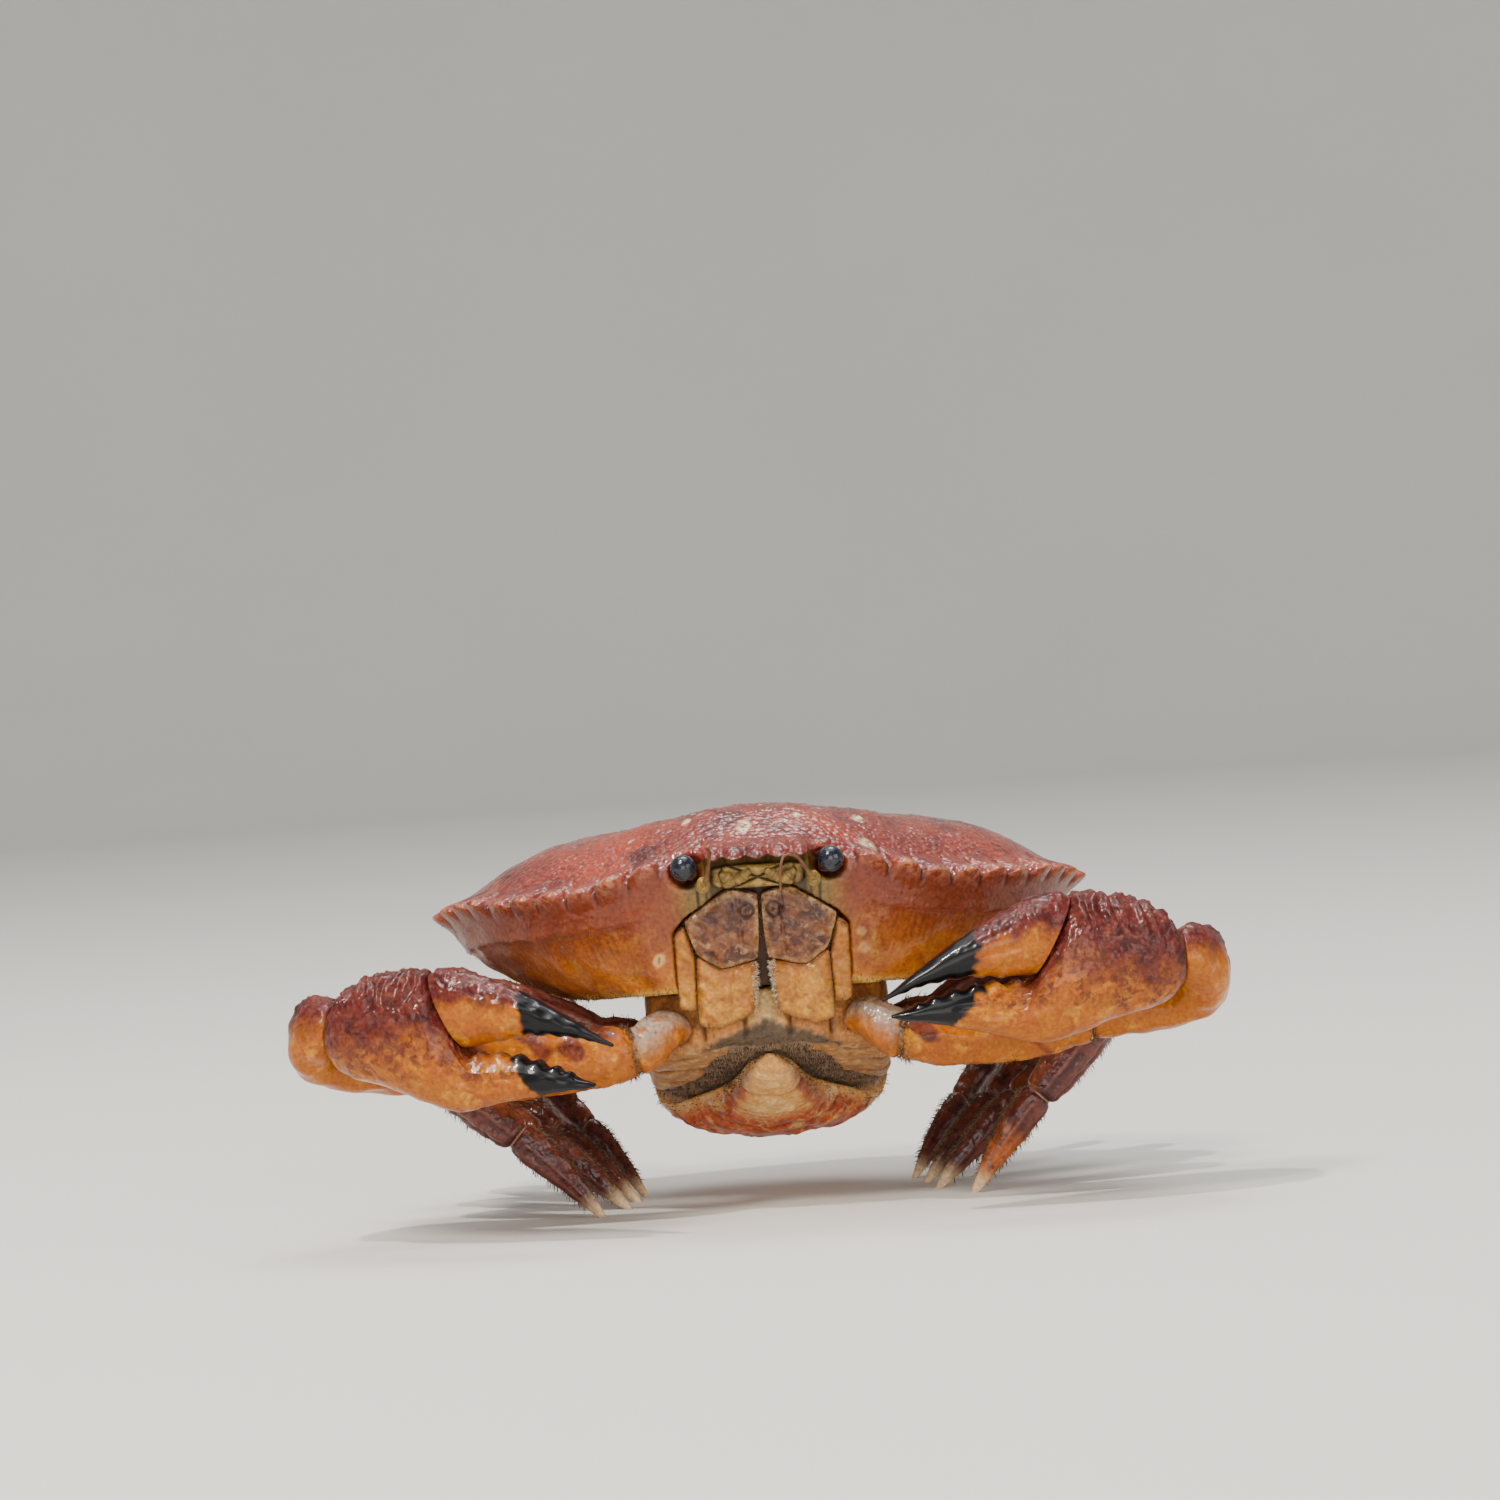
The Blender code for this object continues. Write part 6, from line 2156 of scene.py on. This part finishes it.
    def build_arm(self, frame: BodyFrame, side: Side, wrist: Array, along: Array, bristles: Bristles) -> None:
        """Makes the coxa, the merus and the knuckle of one claw, with the membranes in their joints.

        Args:
            frame: the body's place.
            side: the crab's side.
            wrist: where the palm starts.
            along: the claw's direction to its tip.
            bristles: takes the arm's hair.
        """
        pose = self.poses[side]
        out = unit((side.value * self.facet_run[1], -self.facet_run[0], 0.0))
        facet = np.array((side.value * self.facet[0], self.facet[1], self.coxa_height))
        root = frame.world(facet + GAP * out)
        elbow = wrist - pose.forearm
        coxa_end = frame.stand(self.coxa_end * side.flip)
        droop = unit(self.coxa_droop) * side.flip
        reach = unit(self.arm_reach) * side.flip
        level = np.array((0.0, -side.value, 0.0))
        coxa = Limb(root, frame.turn(out), coxa_end, droop, level, self.coxa_sections)
        merus = Limb(coxa_end + GAP * droop, droop, elbow, reach, level, self.arm_sections)
        knuckle = self.knuckle(elbow + GAP * reach, reach, wrist - GAP * along, -along, pose.size)
        sleeve = Limb(elbow + GAP * reach, reach, elbow, reach, level, ((0.0, 6.0, 5.0),))
        cuff = Limb(wrist, along, wrist, along, level, ((0.0, 5.0, 4.8),), pose.size)
        coxa_skin = self.arm(coxa, self.arm_seeds[side], 1.0, 0.2)
        merus_skin = self.arm(merus, self.arm_seeds[side] + 1, 0.0, 0.8)
        for part, sheets in (
            ("coxa", [coxa_skin]),
            ("merus", [merus_skin, merus.membrane(2.0, 0.86)]),
            ("carpus", [knuckle, sleeve.membrane(2.2, 0.84), cuff.membrane(2.4, 0.84)]),
        ):
            name = f"claw_{side.label}_{part}"
            add_piece(f"{name}_shell", sheets, CLAW_SHELL, (name,))
        for sheet, count in ((coxa_skin, 260), (merus_skin, 420)):
            rim = np.ones(sheet.points.shape[:2])
            rim[6:-6] = 0.02
            bristles.grow(sheet, rim, count, 1.3, 0.5 * reach, tone=0.4)


def add_aimed(name: str, data: bpy.types.ID, right: Array, up: Array, place: Array) -> bpy.types.Object:
    """Adds a camera or a lamp that looks square to two directions.

    Args:
        name: the object's name.
        data: the camera or lamp itself.
        right: its unit direction to the right.
        up: its unit direction upwards.
        place: where it stands, in metres.

    Returns:
        The object.
    """
    made = bpy.data.objects.new(name, data)
    rows = np.column_stack((right, up, np.cross(right, up), place))
    made.matrix_world = Matrix([*rows.tolist(), [0.0, 0.0, 0.0, 1.0]])
    bpy.context.scene.collection.objects.link(made)
    return made


@dataclass(frozen=True)
class PhotoView:
    """The camera: a long lens in front of the crab, a degree above level and rolled a little."""

    distance: float = 750.0
    field_width: float = 273.7
    elevation: float = math.radians(1.0)
    roll: float = math.radians(3.8)
    aim: Point = (1.5, 5.8, 81.9)
    sensor: float = 36.0

    def build(self) -> None:
        """Adds the camera and makes it the scene's own."""
        view = np.array((0.0, math.cos(self.elevation), -math.sin(self.elevation)))
        level_up = np.array((0.0, math.sin(self.elevation), math.cos(self.elevation)))
        level_right = np.array((1.0, 0.0, 0.0))
        right = math.cos(self.roll) * level_right - math.sin(self.roll) * level_up
        up = math.sin(self.roll) * level_right + math.cos(self.roll) * level_up
        place = (self.aim - self.distance * view) * MM
        data = bpy.data.cameras.new("camera")
        data.lens = self.sensor * self.distance / self.field_width
        data.sensor_width = self.sensor
        data.clip_start = 0.01
        bpy.context.scene.camera = add_aimed("camera", data, right, up, place)


@dataclass(frozen=True)
class Lamp:
    """One square soft light: its place and aim in metres, its width and its power in watts."""

    name: str
    place: Point
    aim: Point
    width: float
    power: float
    colour: str = "#ffffff"


@dataclass
class Studio:
    """A wide pale floor that curves up all round the crab, soft lamps and a faint even sky."""

    floor_radius: float = 2.6
    bend: float = 1.0
    height: float = 3.2
    around: int = 96
    lamps: tuple[Lamp, ...] = (
        Lamp("key", (-0.6, -0.8, 1.2), (0.0, 0.0, 0.05), 0.3, 16.5, "#fff6ea"),
        Lamp("fill", (1.1, -1.0, 0.55), (0.0, 0.0, 0.05), 0.8, 8.0, "#fff9f0"),
        Lamp("front", (0.0, -1.6, 0.35), (0.0, 0.0, 0.04), 0.9, 7.0),
        Lamp("top", (0.1, 0.35, 1.2), (0.0, 0.0, 0.05), 0.4, 5.0),
        Lamp("ceiling", (0.0, 0.3, 3.0), (0.0, 0.3, 0.0), 3.0, 60.0),
        Lamp("spark", (-0.4, -0.45, 1.25), (0.0, 0.0, 0.06), 0.06, 13.0, "#fff8f0"),
        Lamp("low", (0.0, -1.1, 0.06), (0.0, 0.0, 0.05), 0.5, 1.6, "#fff2e2"),
    )

    def backdrop(self) -> None:
        """One seamless bowl: a flat round floor, a quarter round, then an upright wall, turned about +Z."""
        turn = np.linspace(0.0, math.pi / 2, 24)
        radius = np.concatenate(([0.05], self.floor_radius + self.bend * np.sin(turn),
                                 [self.floor_radius + self.bend]))
        z = np.concatenate(([0.0], self.bend * (1.0 - np.cos(turn)), [self.height]))
        way = turns(self.around)
        x = radius[:, None] * np.cos(way)
        y = radius[:, None] * np.sin(way)
        points = np.stack((x, y, z[:, None] * np.ones(len(way))), axis=-1).reshape(-1, 3)
        index = np.arange(len(points)).reshape(x.shape)
        after = np.roll(index, -1, axis=1)
        faces = np.stack((index[:-1], index[1:], after[1:], after[:-1]), axis=-1).reshape(-1, 4).tolist()
        faces.append(index[0].tolist())
        material = bpy.data.materials.new("pale_paper")
        material.use_nodes = True
        tree = material.node_tree
        place = add_node(tree, "ShaderNodeTexCoord").outputs["Object"]
        cloud = add_node(tree, "ShaderNodeTexNoise", {"Scale": 3.0}, {"Vector": place})
        tone = add_node(tree, "ShaderNodeMix", {6: linear("#d3d1cc"), 7: linear("#d9d7d2")},
                        {0: cloud.outputs["Fac"]}, data_type="RGBA")
        shader = tree.nodes["Principled BSDF"]
        shader.inputs["Roughness"].default_value = 0.85
        tree.links.new(tone.outputs[2], shader.inputs["Base Color"])
        add_mesh("backdrop", points, faces, material)

    def build(self) -> None:
        """Adds the backdrop, the lamps and the sky."""
        self.backdrop()
        for lamp in self.lamps:
            data = bpy.data.lights.new(lamp.name, "AREA")
            data.energy = lamp.power
            data.size = lamp.width
            data.color = linear(lamp.colour)[:3]
            back = unit(np.subtract(lamp.place, lamp.aim))
            right = unit(np.cross((0.0, 0.02, 1.0), back))
            add_aimed(lamp.name, data, right, np.cross(back, right), lamp.place)
        world = bpy.data.worlds.new("sky")
        world.use_nodes = True
        world.node_tree.nodes["Background"].inputs["Color"].default_value = linear("#e8ecf2")
        world.node_tree.nodes["Background"].inputs["Strength"].default_value = 0.35
        bpy.context.scene.world = world


def main() -> None:
    """Builds every piece of the crab round its solids, then the stage and the camera."""
    logging.basicConfig(level=logging.INFO, format="%(message)s")
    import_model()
    frame = BodyFrame.from_boxes()
    mouth = Mouth()
    carapace = Carapace()
    tail = Tail()
    bristles = Bristles("bristles", 7)
    carapace.build(frame, mouth, bristles)
    Thorax().build(frame, carapace, tail, bristles)
    tail.build(frame, bristles)
    Mouthparts().build(frame, mouth, bristles)
    Face().build(frame, mouth)
    Eyes().build(frame, carapace)
    WalkingLegs().build(frame, bristles)
    Claws().build(frame, bristles)
    bristles.build(BRISTLE, "brown_thorax")
    Studio().build()
    PhotoView().build()
    bpy.context.view_layer.update()


if __name__ == "__main__":
    main()
